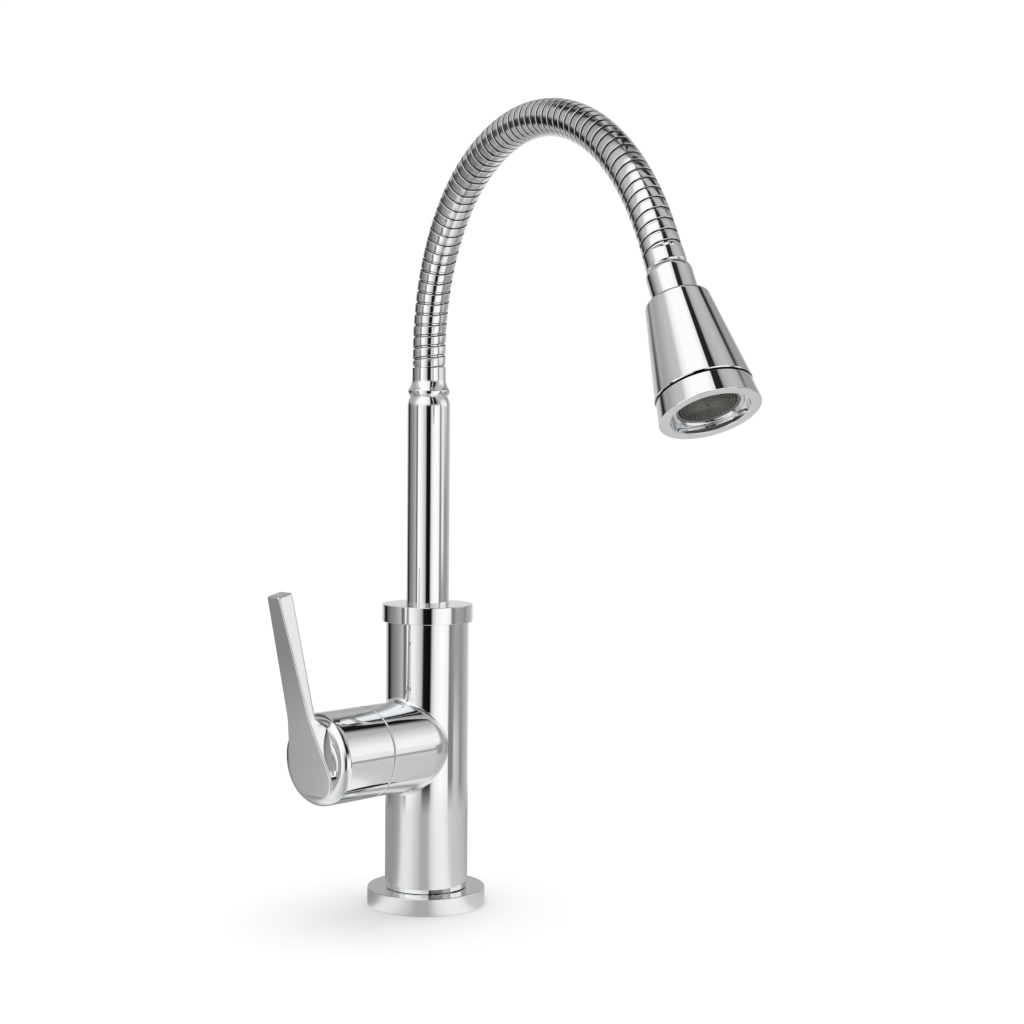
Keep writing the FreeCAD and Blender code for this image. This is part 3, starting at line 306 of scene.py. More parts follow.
def shade_faces(obj, place, test):
    """Darkens the faces whose middle, measured before the piece was placed, passes the test."""
    obj.data.materials.append(plain("Shaded gap", (0.02, 0.02, 0.022), 0.5, metallic=1.0, scale=2500.0))
    back = place.inverted()
    for face in obj.data.polygons:
        spot = back @ face.center
        if test(math.hypot(spot.x, spot.y), spot.z):
            face.material_index = 1


# ---------------------------------------------------------------- the spout's line

def spout_frame():
    """Local +X is the way the spout points."""
    return Matrix.Rotation(-math.pi / 2 - SPOUT_SWING, 4, "Z")


def hose_runs(settings):
    """Length and bend radius of each run of the hose's line; a straight run has no radius."""
    bends = ((settings.first_bend, settings.first_turn), (settings.last_bend, settings.last_turn))
    return [(settings.straight, None), *((bend * turn, bend) for bend, turn in bends),
            (settings.straight, None)]


def hose_length(settings):
    """Length of the hose's middle line between the two ferrules."""
    return sum(length for length, _ in hose_runs(settings))


def hose_station(settings, distance):
    """Reach, height and lean from upright of the hose's middle line, that far above its foot."""
    reach, height, lean = 0.0, HOSE_FOOT, 0.0
    runs = hose_runs(settings)
    for index, (length, bend) in enumerate(runs):
        step = distance if distance < length or index == len(runs) - 1 else length
        if bend is None:
            reach += step * math.sin(lean)
            height += step * math.cos(lean)
        else:
            after = lean + step / bend
            reach += bend * (math.cos(lean) - math.cos(after))
            height += bend * (math.sin(after) - math.sin(lean))
            lean = after
        distance -= step
        if distance <= 0:
            break
    return reach, height, lean


def along_hose(obj, settings):
    """Bends a piece modelled straight up Z, from the hose's foot, along the hose's line."""
    place = spout_frame()
    stations = {}
    for vertex in obj.data.vertices:
        level = round(vertex.co.z, 7)
        if level not in stations:
            stations[level] = hose_station(settings, vertex.co.z)
        reach, height, lean = stations[level]
        across = Vector((math.cos(lean), 0, -math.sin(lean)))
        line = Vector((reach, 0, height))
        vertex.co = place @ (line + across * vertex.co.x + Vector((0, vertex.co.y, 0)))


def head_frame(settings):
    """Local +Z runs from the hose's end to the outlet."""
    reach, height, lean = hose_station(settings, hose_length(settings))
    return spout_frame() @ Matrix.Translation((reach, 0, height)) @ Matrix.Rotation(lean, 4, "Y")


# ---------------------------------------------------------------- the wound hose and its tube

def wound_strip(name, settings, length, pitch):
    """The strip's section, screwed up the hose once for every turn, then closed at both ends."""
    crest, groove = settings.rib_radius, settings.groove_radius
    half, slope = settings.groove_width / 2, settings.groove_width * 0.28
    roll, flat = 0.12 * MM, pitch - settings.groove_width
    section = [(groove, -half + slope), (groove, half - slope), (crest - roll * 1.6, half),
               (crest - roll * 0.5, half + roll), (crest - roll * 0.1, half + roll * 2.4),
               (crest, half + flat * 0.5), (crest - roll * 0.1, pitch - half - roll * 2.4),
               (crest - roll * 0.5, pitch - half - roll), (crest - roll * 1.6, pitch - half),
               (groove, pitch - half + slope)]
    deselect()
    bpy.ops.mesh.primitive_plane_add(size=1.0, location=(0, 0, 0))
    obj = bpy.context.object
    obj.name = obj.data.name = name
    bpy.ops.object.mode_set(mode="EDIT")
    bpy.ops.mesh.select_mode(type="VERT")
    bpy.ops.mesh.select_all(action="SELECT")
    bpy.ops.mesh.merge(type="CENTER")
    bpy.ops.transform.translate(value=(section[0][0], 0, section[0][1] - pitch))
    for (radius, level), (next_radius, next_level) in zip(section, section[1:]):
        bpy.ops.mesh.extrude_region_move(
            TRANSFORM_OT_translate={"value": (next_radius - radius, 0, next_level - level)})
    bpy.ops.object.mode_set(mode="OBJECT")
    wind = obj.modifiers.new("wind", "SCREW")
    wind.axis = "Z"
    wind.steps = wind.render_steps = 48
    wind.screw_offset = pitch
    wind.iterations = settings.turns + 2
    wind.use_merge_vertices = True
    wind.merge_threshold = WELD
    bpy.ops.object.modifier_apply(modifier=wind.name)
    trim_ends(obj, length)
    bpy.ops.object.mode_set(mode="EDIT")
    bpy.ops.mesh.select_all(action="SELECT")
    bpy.ops.mesh.remove_doubles(threshold=2 * WELD)
    close_through_bore(length)
    bpy.ops.mesh.select_all(action="SELECT")
    bpy.ops.mesh.normals_make_consistent(inside=False)
    bpy.ops.object.mode_set(mode="OBJECT")
    return obj


def trim_ends(obj, length):
    """Draws the turns beyond each end into one plain ring there."""
    for vertex in obj.data.vertices:
        level = min(max(vertex.co.z, 0.0), length)
        if level != vertex.co.z:
            flat = Vector((vertex.co.x, vertex.co.y, 0)).normalized() * CRIMP_RADIUS
            vertex.co = (flat.x, flat.y, level)


def close_through_bore(length):
    """Carries each end ring into its ferrule, then joins the two by the wall of the bore."""
    shrink = BORE_RADIUS / CRIMP_RADIUS
    for level, way in ((0.0, -1), (length, 1)):
        bpy.ops.mesh.select_all(action="DESELECT")
        select_where(lambda place, at=level: abs(place.z - at) < WELD / 10)
        bpy.ops.mesh.extrude_region_move(TRANSFORM_OT_translate={"value": (0, 0, way * CRIMP_DEPTH)})
        bpy.ops.mesh.extrude_region_move(TRANSFORM_OT_translate={"value": (0, 0, 0)})
        bpy.ops.transform.resize(value=(shrink, shrink, 1),
                                 center_override=(0, 0, level + way * CRIMP_DEPTH))
    select_where(lambda place: math.hypot(place.x, place.y) < BORE_RADIUS * 1.02)
    bpy.ops.mesh.select_mode(type="EDGE")
    bpy.ops.mesh.bridge_edge_loops(number_cuts=BEND_RINGS - 1)


def painted_groove_shade(hose, settings):
    """The walls of the joint between two turns, which stay dark: painted shade (and some grime) deep in the
    groove.
    """
    deepest, highest = settings.groove_radius + 0.05 * MM, settings.rib_radius - 0.25 * MM
    length = hose_length(settings)
    points = hose.data.vertices
    return [face.index for face in hose.data.polygons
            if deepest < math.hypot(face.center.x, face.center.y) < highest
            and all(WELD < points[index].co.z < length - WELD for index in face.vertices)]


def tighten_turns(hose, settings):
    """The turns lie a little closer together towards the head."""
    length = hose_length(settings)
    for vertex in hose.data.vertices:
        share = min(max(vertex.co.z / length, 0.0), 1.0)
        vertex.co.z += length * settings.tightening * share * (1 - share)


def water_tube(name, length):
    """The plain tube inside the hose, with even rings on both its walls so that they bend alike."""
    crimp, radius, bore = 9.5 * MM, 6.0 * MM, 4.0 * MM
    levels = [-crimp + (length + 2 * crimp) * ring / BEND_RINGS for ring in range(BEND_RINGS + 1)]
    tube = lathe(name, [(bore, -crimp), *((radius, level) for level in levels), (bore, length + crimp)],
                 steps=32)
    make_active(tube)
    bpy.ops.object.mode_set(mode="EDIT")
    for level in levels[1:-1]:
        bpy.ops.mesh.select_all(action="SELECT")
        bpy.ops.mesh.bisect(plane_co=(0, 0, level), plane_no=(0, 0, 1))
    bpy.ops.mesh.select_all(action="SELECT")
    bpy.ops.mesh.remove_doubles(threshold=WELD)
    bpy.ops.object.mode_set(mode="OBJECT")
    return tube


def finish_across(obj, settings, material, node):
    """Gives the hose or its tube its finish, bakes its place into its mesh and hides the node; the stations
    at 12 and 88 per cent along the hose are worked out but not used.
    """
    obj.data.materials.clear()
    obj.data.materials.append(material)
    for share in (0.12, 0.88):
        reach, height, _ = hose_station(settings, hose_length(settings) * share)
    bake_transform(obj)
    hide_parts(node)


# ---------------------------------------------------------------- node groups and materials

def new_group(name, inputs, outputs):
    """A node group with its named sockets, and the nodes that hold them."""
    group = bpy.data.node_groups.new(name, "ShaderNodeTree")
    for label, kind, default in inputs:
        socket = group.interface.new_socket(label, in_out="INPUT", socket_type=kind)
        socket.default_value = default
    for label, kind in outputs:
        group.interface.new_socket(label, in_out="OUTPUT", socket_type=kind)
    return group, group.nodes.new("NodeGroupInput"), group.nodes.new("NodeGroupOutput")


def feed(links, socket, value):
    """Sets a socket to a number or a colour, or links it to another socket."""
    if isinstance(value, bpy.types.NodeSocket):
        links.new(value, socket)
    else:
        socket.default_value = value


def mixed(nodes, links, share, first, second, blend="MIX"):
    """The mix of two colours by a share."""
    mix = nodes.new("ShaderNodeMix")
    mix.data_type = "RGBA"
    mix.blend_type = blend
    for label, value in (("Factor", share), ("A", first), ("B", second)):
        feed(links, mix.inputs[label], value)
    return mix.outputs["Result"]


def noise(nodes, links, where, scale, detail):
    """The strength of a noise at the given places."""
    texture = nodes.new("ShaderNodeTexNoise")
    for label, value in (("Vector", where), ("Scale", scale), ("Detail", detail)):
        feed(links, texture.inputs[label], value)
    return texture.outputs["Fac"]


def polish_group():
    """Faint haze, wipe marks and the slight waviness of plated metal."""
    group, given, result = new_group(
        "Polish marks",
        [("Haze", "NodeSocketFloat", 0.02), ("Marks", "NodeSocketFloat", 0.03),
         ("Wave", "NodeSocketFloat", 0.02)],
        [("Roughness", "NodeSocketFloat"), ("Normal", "NodeSocketVector"), ("Mask", "NodeSocketFloat")])
    nodes, links = group.nodes, group.links
    where = nodes.new("ShaderNodeTexCoord").outputs["Object"]
    stretch = nodes.new("ShaderNodeMapping")
    stretch.inputs["Scale"].default_value = (900.0, 900.0, 60.0)
    links.new(where, stretch.inputs["Vector"])
    haze = noise(nodes, links, where, 60.0, 4.0)
    wipes = noise(nodes, links, stretch.outputs["Vector"], 1.0, 3.0)
    wave = noise(nodes, links, where, 35.0, 1.0)
    spots = nodes.new("ShaderNodeValToRGB")
    spots.color_ramp.elements[0].position = 0.55
    spots.color_ramp.elements[1].position = 0.78
    scaled = nodes.new("ShaderNodeMath")
    scaled.operation = "MULTIPLY"
    marks = nodes.new("ShaderNodeMath")
    marks.operation = "MULTIPLY_ADD"
    bump = nodes.new("ShaderNodeBump")
    bump.inputs["Distance"].default_value = 0.4 * MM
    links.new(wipes, spots.inputs["Fac"])
    links.new(haze, scaled.inputs[0])
    links.new(given.outputs["Haze"], scaled.inputs[1])
    links.new(spots.outputs["Color"], marks.inputs[0])
    links.new(given.outputs["Marks"], marks.inputs[1])
    links.new(scaled.outputs["Value"], marks.inputs[2])
    links.new(wave, bump.inputs["Height"])
    links.new(given.outputs["Wave"], bump.inputs["Strength"])
    links.new(marks.outputs["Value"], result.inputs["Roughness"])
    links.new(bump.outputs["Normal"], result.inputs["Normal"])
    links.new(spots.outputs["Color"], result.inputs["Mask"])
    return group


def grain_group():
    """Fine moulding or turning grain for the plain inner pieces."""
    group, given, result = new_group(
        "Fine grain",
        [("Scale", "NodeSocketFloat", 800.0), ("Depth", "NodeSocketFloat", 0.1),
         ("Base", "NodeSocketColor", (0.5, 0.5, 0.5, 1)), ("Shade", "NodeSocketFloat", 0.85)],
        [("Color", "NodeSocketColor"), ("Normal", "NodeSocketVector")])
    nodes, links = group.nodes, group.links
    where = nodes.new("ShaderNodeTexCoord").outputs["Object"]
    grain = noise(nodes, links, where, given.outputs["Scale"], 5.0)
    shades = nodes.new("ShaderNodeMapRange")
    shades.inputs["To Max"].default_value = 1.0
    links.new(grain, shades.inputs["Value"])
    links.new(given.outputs["Shade"], shades.inputs["To Min"])
    darkened = mixed(nodes, links, 1.0, given.outputs["Base"], shades.outputs["Result"], "MULTIPLY")
    bump = nodes.new("ShaderNodeBump")
    bump.inputs["Distance"].default_value = 0.2 * MM
    links.new(grain, bump.inputs["Height"])
    links.new(given.outputs["Depth"], bump.inputs["Strength"])
    links.new(darkened, result.inputs["Color"])
    links.new(bump.outputs["Normal"], result.inputs["Normal"])
    return group


def shared_group(name, maker):
    """The group of that name, made the first time it is asked for."""
    return bpy.data.node_groups.get(name) or maker()


def new_material(name):
    """A material, its nodes, its links and its main shader."""
    material = bpy.data.materials.new(name)
    material.use_nodes = True
    tree = material.node_tree
    return material, tree.nodes, tree.links, tree.nodes["Principled BSDF"]


def chrome(name, tint, haze=0.025, marks=0.015, wave=0.015):
    """Plated metal, a little darker where it was wiped."""
    if name in bpy.data.materials:
        return bpy.data.materials[name]
    material, nodes, links, shader = new_material(name)
    shader.inputs["Metallic"].default_value = 1.0
    polish = nodes.new("ShaderNodeGroup")
    polish.node_tree = shared_group("Polish marks", polish_group)
    for label, value in (("Haze", haze), ("Marks", marks), ("Wave", wave)):
        polish.inputs[label].default_value = value
    wiped = (*(shade * 0.96 for shade in tint), 1)
    links.new(mixed(nodes, links, polish.outputs["Mask"], (*tint, 1), wiped), shader.inputs["Base Color"])
    links.new(polish.outputs["Roughness"], shader.inputs["Roughness"])
    links.new(polish.outputs["Normal"], shader.inputs["Normal"])
    return material


def plain(name, colour, roughness, metallic=0.0, scale=800.0, depth=0.1, shade=0.85):
    """An even finish with a fine grain."""
    if name in bpy.data.materials:
        return bpy.data.materials[name]
    material, nodes, links, shader = new_material(name)
    shader.inputs["Roughness"].default_value = roughness
    shader.inputs["Metallic"].default_value = metallic
    grain = nodes.new("ShaderNodeGroup")
    grain.node_tree = shared_group("Fine grain", grain_group)
    grain.inputs["Base"].default_value = (*colour, 1)
    for label, value in (("Scale", scale), ("Depth", depth), ("Shade", shade)):
        grain.inputs[label].default_value = value
    links.new(grain.outputs["Color"], shader.inputs["Base Color"])
    links.new(grain.outputs["Normal"], shader.inputs["Normal"])
    return material


def polished():
    return chrome("Polished chrome", tuple(bpy.context.scene.faucet_finish.chrome))


# ---------------------------------------------------------------- column, lever and riser

def base_flange():
    """Cover ring with a recess below, between its lip and its rim."""
    bore, lip, rim, recess = 17.65 * MM, 20.5 * MM, 27.0 * MM, 2.0 * MM
    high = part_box("base_flange")[1]
    return lathe("flange_skin", [
        (bore, 0.0), (lip, 0.0), (lip, recess), (rim, recess), (rim, 0.0), (high.x, 0.0), (high.x, high.z),
        (bore, high.z)], edge=0.5 * MM)


def top_collar():
    """Collar on the column, screwed into it and stepped in over the spout's bush."""
    low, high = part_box("top_collar")
    seat, lip, thread, lip_depth = 12.95 * MM, 11.15 * MM, 17.5 * MM, 2.8 * MM
    seam = top_of("valve_body")
    return lathe("collar_skin", [
        (seat, low.z), (thread, low.z), (thread, seam), (high.x, seam), (high.x, high.z), (lip, high.z),
        (lip, high.z - lip_depth), (seat, high.z - lip_depth)], edge=0.35 * MM)


class FAUCET_OT_column(bpy.types.Operator):
    """Base flange, column with its boss, and the collar on top"""

    bl_idname = "faucet.column"
    bl_label = "Column and base"

    def execute(self, context):
        finish_piece(base_flange(), "body", polished(), "base_flange")
        finish_piece(top_collar(), "body", polished(), "top_collar")
        column = polished_copy("valve_body", "column_skin", seam_at=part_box("valve_body")[0].x)
        finish_piece(column, "body", polished(), "valve_body")
        return {"FINISHED"}


class FAUCET_OT_lever(bpy.types.Operator):
    """Handle hub with its upright lever"""

    bl_idname = "faucet.lever"
    bl_label = "Lever handle"

    def execute(self, context):
        lever = polished_copy("handle_lever", "lever_skin", seam_at=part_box("handle_lever")[1].x)
        finish_piece(lever, "handle", polished(), "handle_lever")
        return {"FINISHED"}


def riser_tube():
    """Plain tube with its top rolled in to the ferrule's waist."""
    radius, wall, floor = width("riser_tube") / 2, 1.2 * MM, floor_of("riser_tube")
    start, rolled = RISER_TOP - ROLL_LENGTH, roll_radius(ROLL_IN, ROLL_LENGTH)
    return lathe("riser_skin", [
        (radius - wall, floor), (radius, floor), (radius, start),
        *arc((radius, start), (RISER_WAIST, RISER_TOP), rolled, 1, 8), (RISER_WAIST - wall, RISER_TOP),
        *arc((RISER_WAIST - wall, RISER_TOP), (radius - wall, start), rolled - wall, -1, 4)])


def lower_ferrule():
    """From the riser's waist out to a crest, then in by a long flare to the sleeve."""
    crest, soft, skirt = width("lower_ferrule") / 2, 0.7 * MM, 8.33 * MM
    to_crest, to_sleeve = 3.0 * MM, 8.6 * MM
    crest_level, sleeve_level = RISER_TOP + to_crest, RISER_TOP + to_sleeve
    foot, ledge = floor_of("lower_ferrule"), HOSE_FOOT - 12.5 * MM
    eased = (crest - soft * 0.5, crest_level + soft)
    return lathe("lower_ferrule_skin", [
        (WATERWAY_RADIUS, foot), (skirt, foot), (skirt, RISER_TOP), (RISER_WAIST, RISER_TOP),
        *arc((RISER_WAIST, RISER_TOP), (crest, crest_level), roll_radius(crest - RISER_WAIST, to_crest), 1),
        (crest - soft * 0.12, crest_level + soft * 0.5), eased,
        *arc(eased, (SLEEVE_RADIUS, sleeve_level),
             roll_radius(eased[0] - SLEEVE_RADIUS, to_sleeve - to_crest - soft), -1, 8),
        (SLEEVE_RADIUS, HOSE_FOOT), (GRIP_RADIUS, HOSE_FOOT), (GRIP_RADIUS, ledge),
        (WATERWAY_RADIUS, ledge)])


class FAUCET_OT_riser(bpy.types.Operator):
    """Riser tube and the ferrule on its top"""

    bl_idname = "faucet.riser"
    bl_label = "Riser and ferrule"

    def execute(self, context):
        finish_piece(riser_tube(), "spout", polished(), "riser_tube")
        finish_piece(lower_ferrule(), "spout", polished(), "lower_ferrule")
        return {"FINISHED"}


# ---------------------------------------------------------------- gooseneck

class FAUCET_OT_gooseneck(bpy.types.Operator):
    """Strip-wound flexible hose and the water tube inside it"""

    bl_idname = "faucet.gooseneck"
    bl_label = "Gooseneck"

    def execute(self, context):
        settings = context.scene.faucet_gooseneck
        length = hose_length(settings)
        hose = wound_strip("gooseneck_skin", settings, length, length / settings.turns)
        shaded_groove_faces = painted_groove_shade(hose, settings)
        tighten_turns(hose, settings)
        along_hose(hose, settings)
        smooth(hose, 50.0)
        weigh_normals(hose)
        strip = chrome("Wound steel strip", tuple(context.scene.faucet_finish.chrome),
                       haze=0.16, marks=0.05, wave=0.03)
        finish_across(hose, settings, strip, "gooseneck_hose")
        # Dark metal on the groove walls: painted shade in the joints between the turns.
        joint = plain("Strip joint painted shade", (0.06, 0.06, 0.065), 0.45, metallic=1.0, scale=2500.0)
        hose.data.materials.append(joint)
        for index in shaded_groove_faces:
            hose.data.polygons[index].material_index = 1
        tube = water_tube("water_tube_skin", length)
        along_hose(tube, settings)
        smooth(tube, 50.0)
        finish_across(tube, settings, plain("Water tube", (0.88, 0.88, 0.86), 0.45), "inner_water_tube")
        return {"FINISHED"}


# ---------------------------------------------------------------- spray head

def upper_ferrule(place):
    """Sleeve on the hose's far end, drawn in to the groove over the neck."""
    drawn_from, seat = 5.2 * MM, 8.0 * MM
    return lathe("upper_ferrule_skin", [
        (GRIP_RADIUS, 0.0), (SLEEVE_RADIUS, 0.0), (SLEEVE_RADIUS, drawn_from),
        *arc((SLEEVE_RADIUS, drawn_from), (NECK_WAIST, GROOVE_LEVEL),
             roll_radius(SLEEVE_RADIUS - NECK_WAIST, GROOVE_LEVEL - drawn_from), 1, 4),
        (seat, GROOVE_LEVEL), (seat, LEDGE_LEVEL), (GRIP_RADIUS, LEDGE_LEVEL)], place=place)


def head_neck(place):
    """Neck that swells below the groove and screws into the shell."""
    radius, swell_end, seat, thread = 9.8 * MM, 9.6 * MM, 8.05 * MM, 9.0 * MM
    return lathe("neck_skin", [
        (seat, GROOVE_LEVEL), (NECK_WAIST, GROOVE_LEVEL),
        *arc((NECK_WAIST, GROOVE_LEVEL), (radius, swell_end),
             roll_radius(radius - NECK_WAIST, swell_end - GROOVE_LEVEL), 1, 8),
        (radius, NECK_END), (thread, NECK_END), (thread, WEB_END), (WATERWAY_RADIUS, WEB_END),
        (WATERWAY_RADIUS, LEDGE_LEVEL), (seat, LEDGE_LEVEL)], place=place)


def head_shell(place):
    """Conical shell with a round shoulder and an even wall."""
    top, bottom, wall, shoulder, hole = 13.7 * MM, 20.5 * MM, 2.5 * MM, 1.8 * MM, 9.05 * MM
    slope = (bottom - top) / (SHELL_END - NECK_END)
    return lathe("shell_skin", [
        (hole, NECK_END), (top - shoulder, NECK_END),
        *arc((top - shoulder, NECK_END), (top, NECK_END + shoulder), shoulder, 1),
        (bottom - 0.25 * MM, SHELL_END - 0.4 * MM), (bottom - 0.5 * MM, SHELL_END),
        (RING_SEAT, SHELL_END), (RING_SEAT, SHELL_THREAD),
        (top - wall + slope * (SHELL_THREAD - NECK_END), SHELL_THREAD),
        (top - wall + slope * (WEB_END - NECK_END), WEB_END), (hole, WEB_END)], place=place)


def outlet_ring(place):
    """Ring that goes on with the shell's slope below the fine seam, open for the aerator."""
    thread, land, upper, lower = 17.8 * MM, 19.0 * MM, 19.95 * MM, 21.22 * MM
    mouth, seat, hole = 16.5 * MM, 14.2 * MM, 11.5 * MM
    end, mouth_floor, seat_floor = 74.3 * MM, 70.4 * MM, 59.4 * MM
    return lathe("outlet_ring_skin", [
        (hole, SHELL_THREAD), (thread, SHELL_THREAD), (thread, SHELL_END), (land, SHELL_END),
        (land, RING_TOP), (upper, RING_TOP), (lower, end), (mouth, end), (mouth, mouth_floor),
        (seat, mouth_floor), (seat, seat_floor), (hole, seat_floor)], edge=0.45 * MM, place=place)


class FAUCET_OT_head(bpy.types.Operator):
    """Ferrule, neck, conical shell and outlet ring of the spray head"""

    bl_idname = "faucet.head"
    bl_label = "Spray head"

    def execute(self, context):
        place = head_frame(context.scene.faucet_gooseneck)
        metal = polished()
        finish_piece(upper_ferrule(place), "head", metal, "upper_ferrule")
        finish_piece(head_neck(place), "head", metal, "head_neck")
        shell = head_shell(place)
        finish_piece(shell, "head", metal, "head_shell")
        shell_edge = SHELL_END - 0.05 * MM
        shade_faces(shell, place, lambda radius, level: level > shell_edge and radius > RING_SEAT)
        ring = outlet_ring(place)
        finish_piece(ring, "head", metal, "outlet_ring")
        ring_edge = RING_TOP + 0.02 * MM
        shade_faces(ring, place, lambda radius, level: level < ring_edge and radius > RING_SEAT)
        return {"FINISHED"}


def screen_wires(inner, level):
    """Rings of slanting bars, each ring turned by half a bar from the one outside it."""
    rings, bars, overlap, open_middle = 8, 40, 0.2 * MM, 0.6 * MM
    radius, step = inner + overlap, (inner - open_middle) / rings
    deselect()
    bpy.ops.mesh.primitive_circle_add(vertices=bars, radius=radius, location=(0, 0, 0))
    wires = bpy.context.object
    bpy.ops.object.mode_set(mode="EDIT")
    bpy.ops.mesh.select_mode(type="VERT")
    bpy.ops.mesh.select_all(action="SELECT")
    bpy.ops.transform.translate(value=(0, 0, level))
    for _ in range(rings):
        bpy.ops.mesh.extrude_edges_move()
        shrink = (radius - step) / radius
        bpy.ops.transform.resize(value=(shrink, shrink, 1), center_override=(0, 0, 0))
        bpy.ops.transform.rotate(value=math.pi / bars, orient_axis="Z", center_override=(0, 0, 0))
        radius -= step
    bpy.ops.object.mode_set(mode="OBJECT")
    thick = wires.modifiers.new("bars", "WIREFRAME")
    thick.thickness = 0.5 * MM
    thick.use_boundary = True
    thick.use_even_offset = False
    bpy.ops.object.modifier_apply(modifier=thick.name)
    return wires


class FAUCET_OT_screen(bpy.types.Operator):
    """Round mesh of fine bars in the outlet"""

    bl_idname = "faucet.screen"
    bl_label = "Aerator screen"

    def execute(self, context):
        place = head_frame(context.scene.faucet_gooseneck)
        rim, inner, top, bottom = 13.2 * MM, 12.3 * MM, 69.8 * MM, 70.6 * MM
        screen = lathe("screen_skin", [(inner, top), (rim, top), (rim, bottom), (inner, bottom)], steps=72,
                       place=place)
        wires = screen_wires(inner, bottom - 0.3 * MM)
        wires.data.transform(place)
        make_active(screen)
        wires.select_set(True)
        bpy.ops.object.join()
        dark = plain("Aerator plastic", tuple(context.scene.faucet_finish.screen), 0.3, scale=1500.0)
        finish_piece(screen, "head", dark, "aerator_screen")
        return {"FINISHED"}


# ---------------------------------------------------------------- inner pieces

class FAUCET_OT_inner(bpy.types.Operator):
    """Finishes of the pieces that keep the frame's own shape"""

    bl_idname = "faucet.inner"
    bl_label = "Inner pieces"

    def execute(self, context):
        brass = plain("Turned brass", (0.72, 0.55, 0.28), 0.28, metallic=1.0, scale=1500.0, depth=0.05)
        rubber = plain("Seal rubber", (0.02, 0.02, 0.021), 0.65, scale=2500.0, depth=0.2)
        off_white = plain("Cartridge plastic", (0.80, 0.80, 0.76), 0.4, scale=1200.0)
        bush = plain("Bush plastic", (0.86, 0.86, 0.84), 0.35, scale=1200.0)
        ceramic = plain("Lapped ceramic", (0.90, 0.89, 0.85), 0.12, scale=3000.0, depth=0.02)
        steel = plain("Plain steel", (0.50, 0.50, 0.51), 0.35, metallic=1.0, scale=1800.0)
        plug = plain("Plug plastic", (0.30, 0.30, 0.31), 0.4)
        dark = plain("Flow core", (0.02, 0.02, 0.02), 0.5, scale=1500.0)
        finishes = (
            (rubber, ("base_gasket", "foot_ring", "cartridge_seals", "spout_seal_ring", "neck_washer",
                      "aerator_washer")),
            (brass, ("cartridge_nut", "cartridge_stem", "riser_foot", "lower_hose_barb",
                     "upper_hose_barb")),
            (off_white, ("cartridge_housing", "cartridge_base", "disc_driver")),
            (bush, ("upper_swivel_bush", "lower_swivel_bush")),
            (ceramic, ("fixed_ceramic_disc", "moving_ceramic_disc")),
            (steel, ("set_screw",)),
            (plug, ("screw_plug",)),
            (dark, ("aerator_core",)),
            (polished(), ("aerator_housing",)))
        for material, nodes in finishes:
            for node in nodes:
                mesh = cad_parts[node].data
                mesh.materials.clear()
                mesh.materials.append(material)
        return {"FINISHED"}


# ---------------------------------------------------------------- stage

def place_camera(camera):
    """Puts the camera at the photograph's viewpoint and gives its bearing from the column."""
    azimuth, pitch, roll = math.radians(47.641), math.radians(3.111), math.radians(0.483)
    distance, side, height = 1021.46 * MM, 43.18 * MM, 259.34 * MM
    focal_pixels, picture_pixels, sensor = 1983.1, 1024, 36.0
    across, along = math.sin(azimuth), math.cos(azimuth)
    ahead = Vector((across * math.cos(pitch), along * math.cos(pitch), -math.sin(pitch)))
    level = Vector((along, -across, 0))
    up = level.cross(ahead)
    right = level * math.cos(roll) + up * math.sin(roll)
    up = up * math.cos(roll) - level * math.sin(roll)
    turn = Matrix((right, up, -ahead)).transposed().to_4x4()
    place = Vector((-across * distance, -along * distance, height)) + level * side
    camera.matrix_world = Matrix.Translation(place) @ turn
    camera.data.sensor_width = sensor
    camera.data.lens = focal_pixels / picture_pixels * sensor
    camera.data.clip_start = 0.01
    return math.atan2(-place.x, -place.y)


def between(low, start, full, last, end, high):
    """Stops of a value that is 0 from low to start, 1 from full to last, and 0 again from end to high."""
    return ((low, 0.0), (start, 0.0), (full, 1.0), (last, 1.0), (end, 0.0), (high, 0.0))


def turn_stops(start, full, last, end):
    """A patch's stops by its turn, in degrees."""
    return between(-180.0, start, full, last, end, 180.0)


def rise_stops(start, full, last, end):
    """A patch's stops by its rise, from -1 straight down to 1 straight up."""
    return between(-1.0, start, full, last, end, 1.0)


# Where the metal looks by reflection: brightness against the turn, in degrees to the right of the
# direction towards the camera's place. Upright metal shows the level round, the leaning head and hose
# the upper one, and all of it the softer round near the foot that the table shows to reflections:
# a painted reflection of the soft boxes and painted shade, which the table's material paints by turn.
LEVEL_ROUND = (
    (-180, 0.80), (-150, 0.62), (-143, 0.30), (-138, 0.01), (-128, 0.01), (-123, 0.09), (-112, 0.20),
    (-90, 0.33), (-71, 0.55), (-68.5, 0.15), (-61, 0.22), (-57, 1.20), (-36, 0.98), (-16, 0.56),
    (-10, 0.01), (9, 0.003), (14, 0.66), (22, 0.98), (40, 1.14), (59, 1.02), (65, 0.24), (72, 0.25),
    (78, 0.40), (96, 0.38), (110, 0.30), (122, 0.44), (140, 0.52), (156, 0.78), (180, 0.80))
TABLE_PAINTED_GLOW = (
    (-180, 0.30), (-150, 0.34), (-125, 0.33), (-100, 0.33), (-88, 0.38), (-79, 0.46), (-71, 0.72),
    (-64, 0.86), (-51, 0.89), (-39, 0.81), (-27, 0.66), (-20, 0.58), (-14, 0.46), (2, 0.45), (8, 0.62),
    (14, 0.80), (25, 0.93), (43, 0.97), (56, 0.88), (63, 0.70), (72, 0.64), (90, 0.62), (111, 0.56),
    (135, 0.46), (155, 0.42), (180, 0.30))
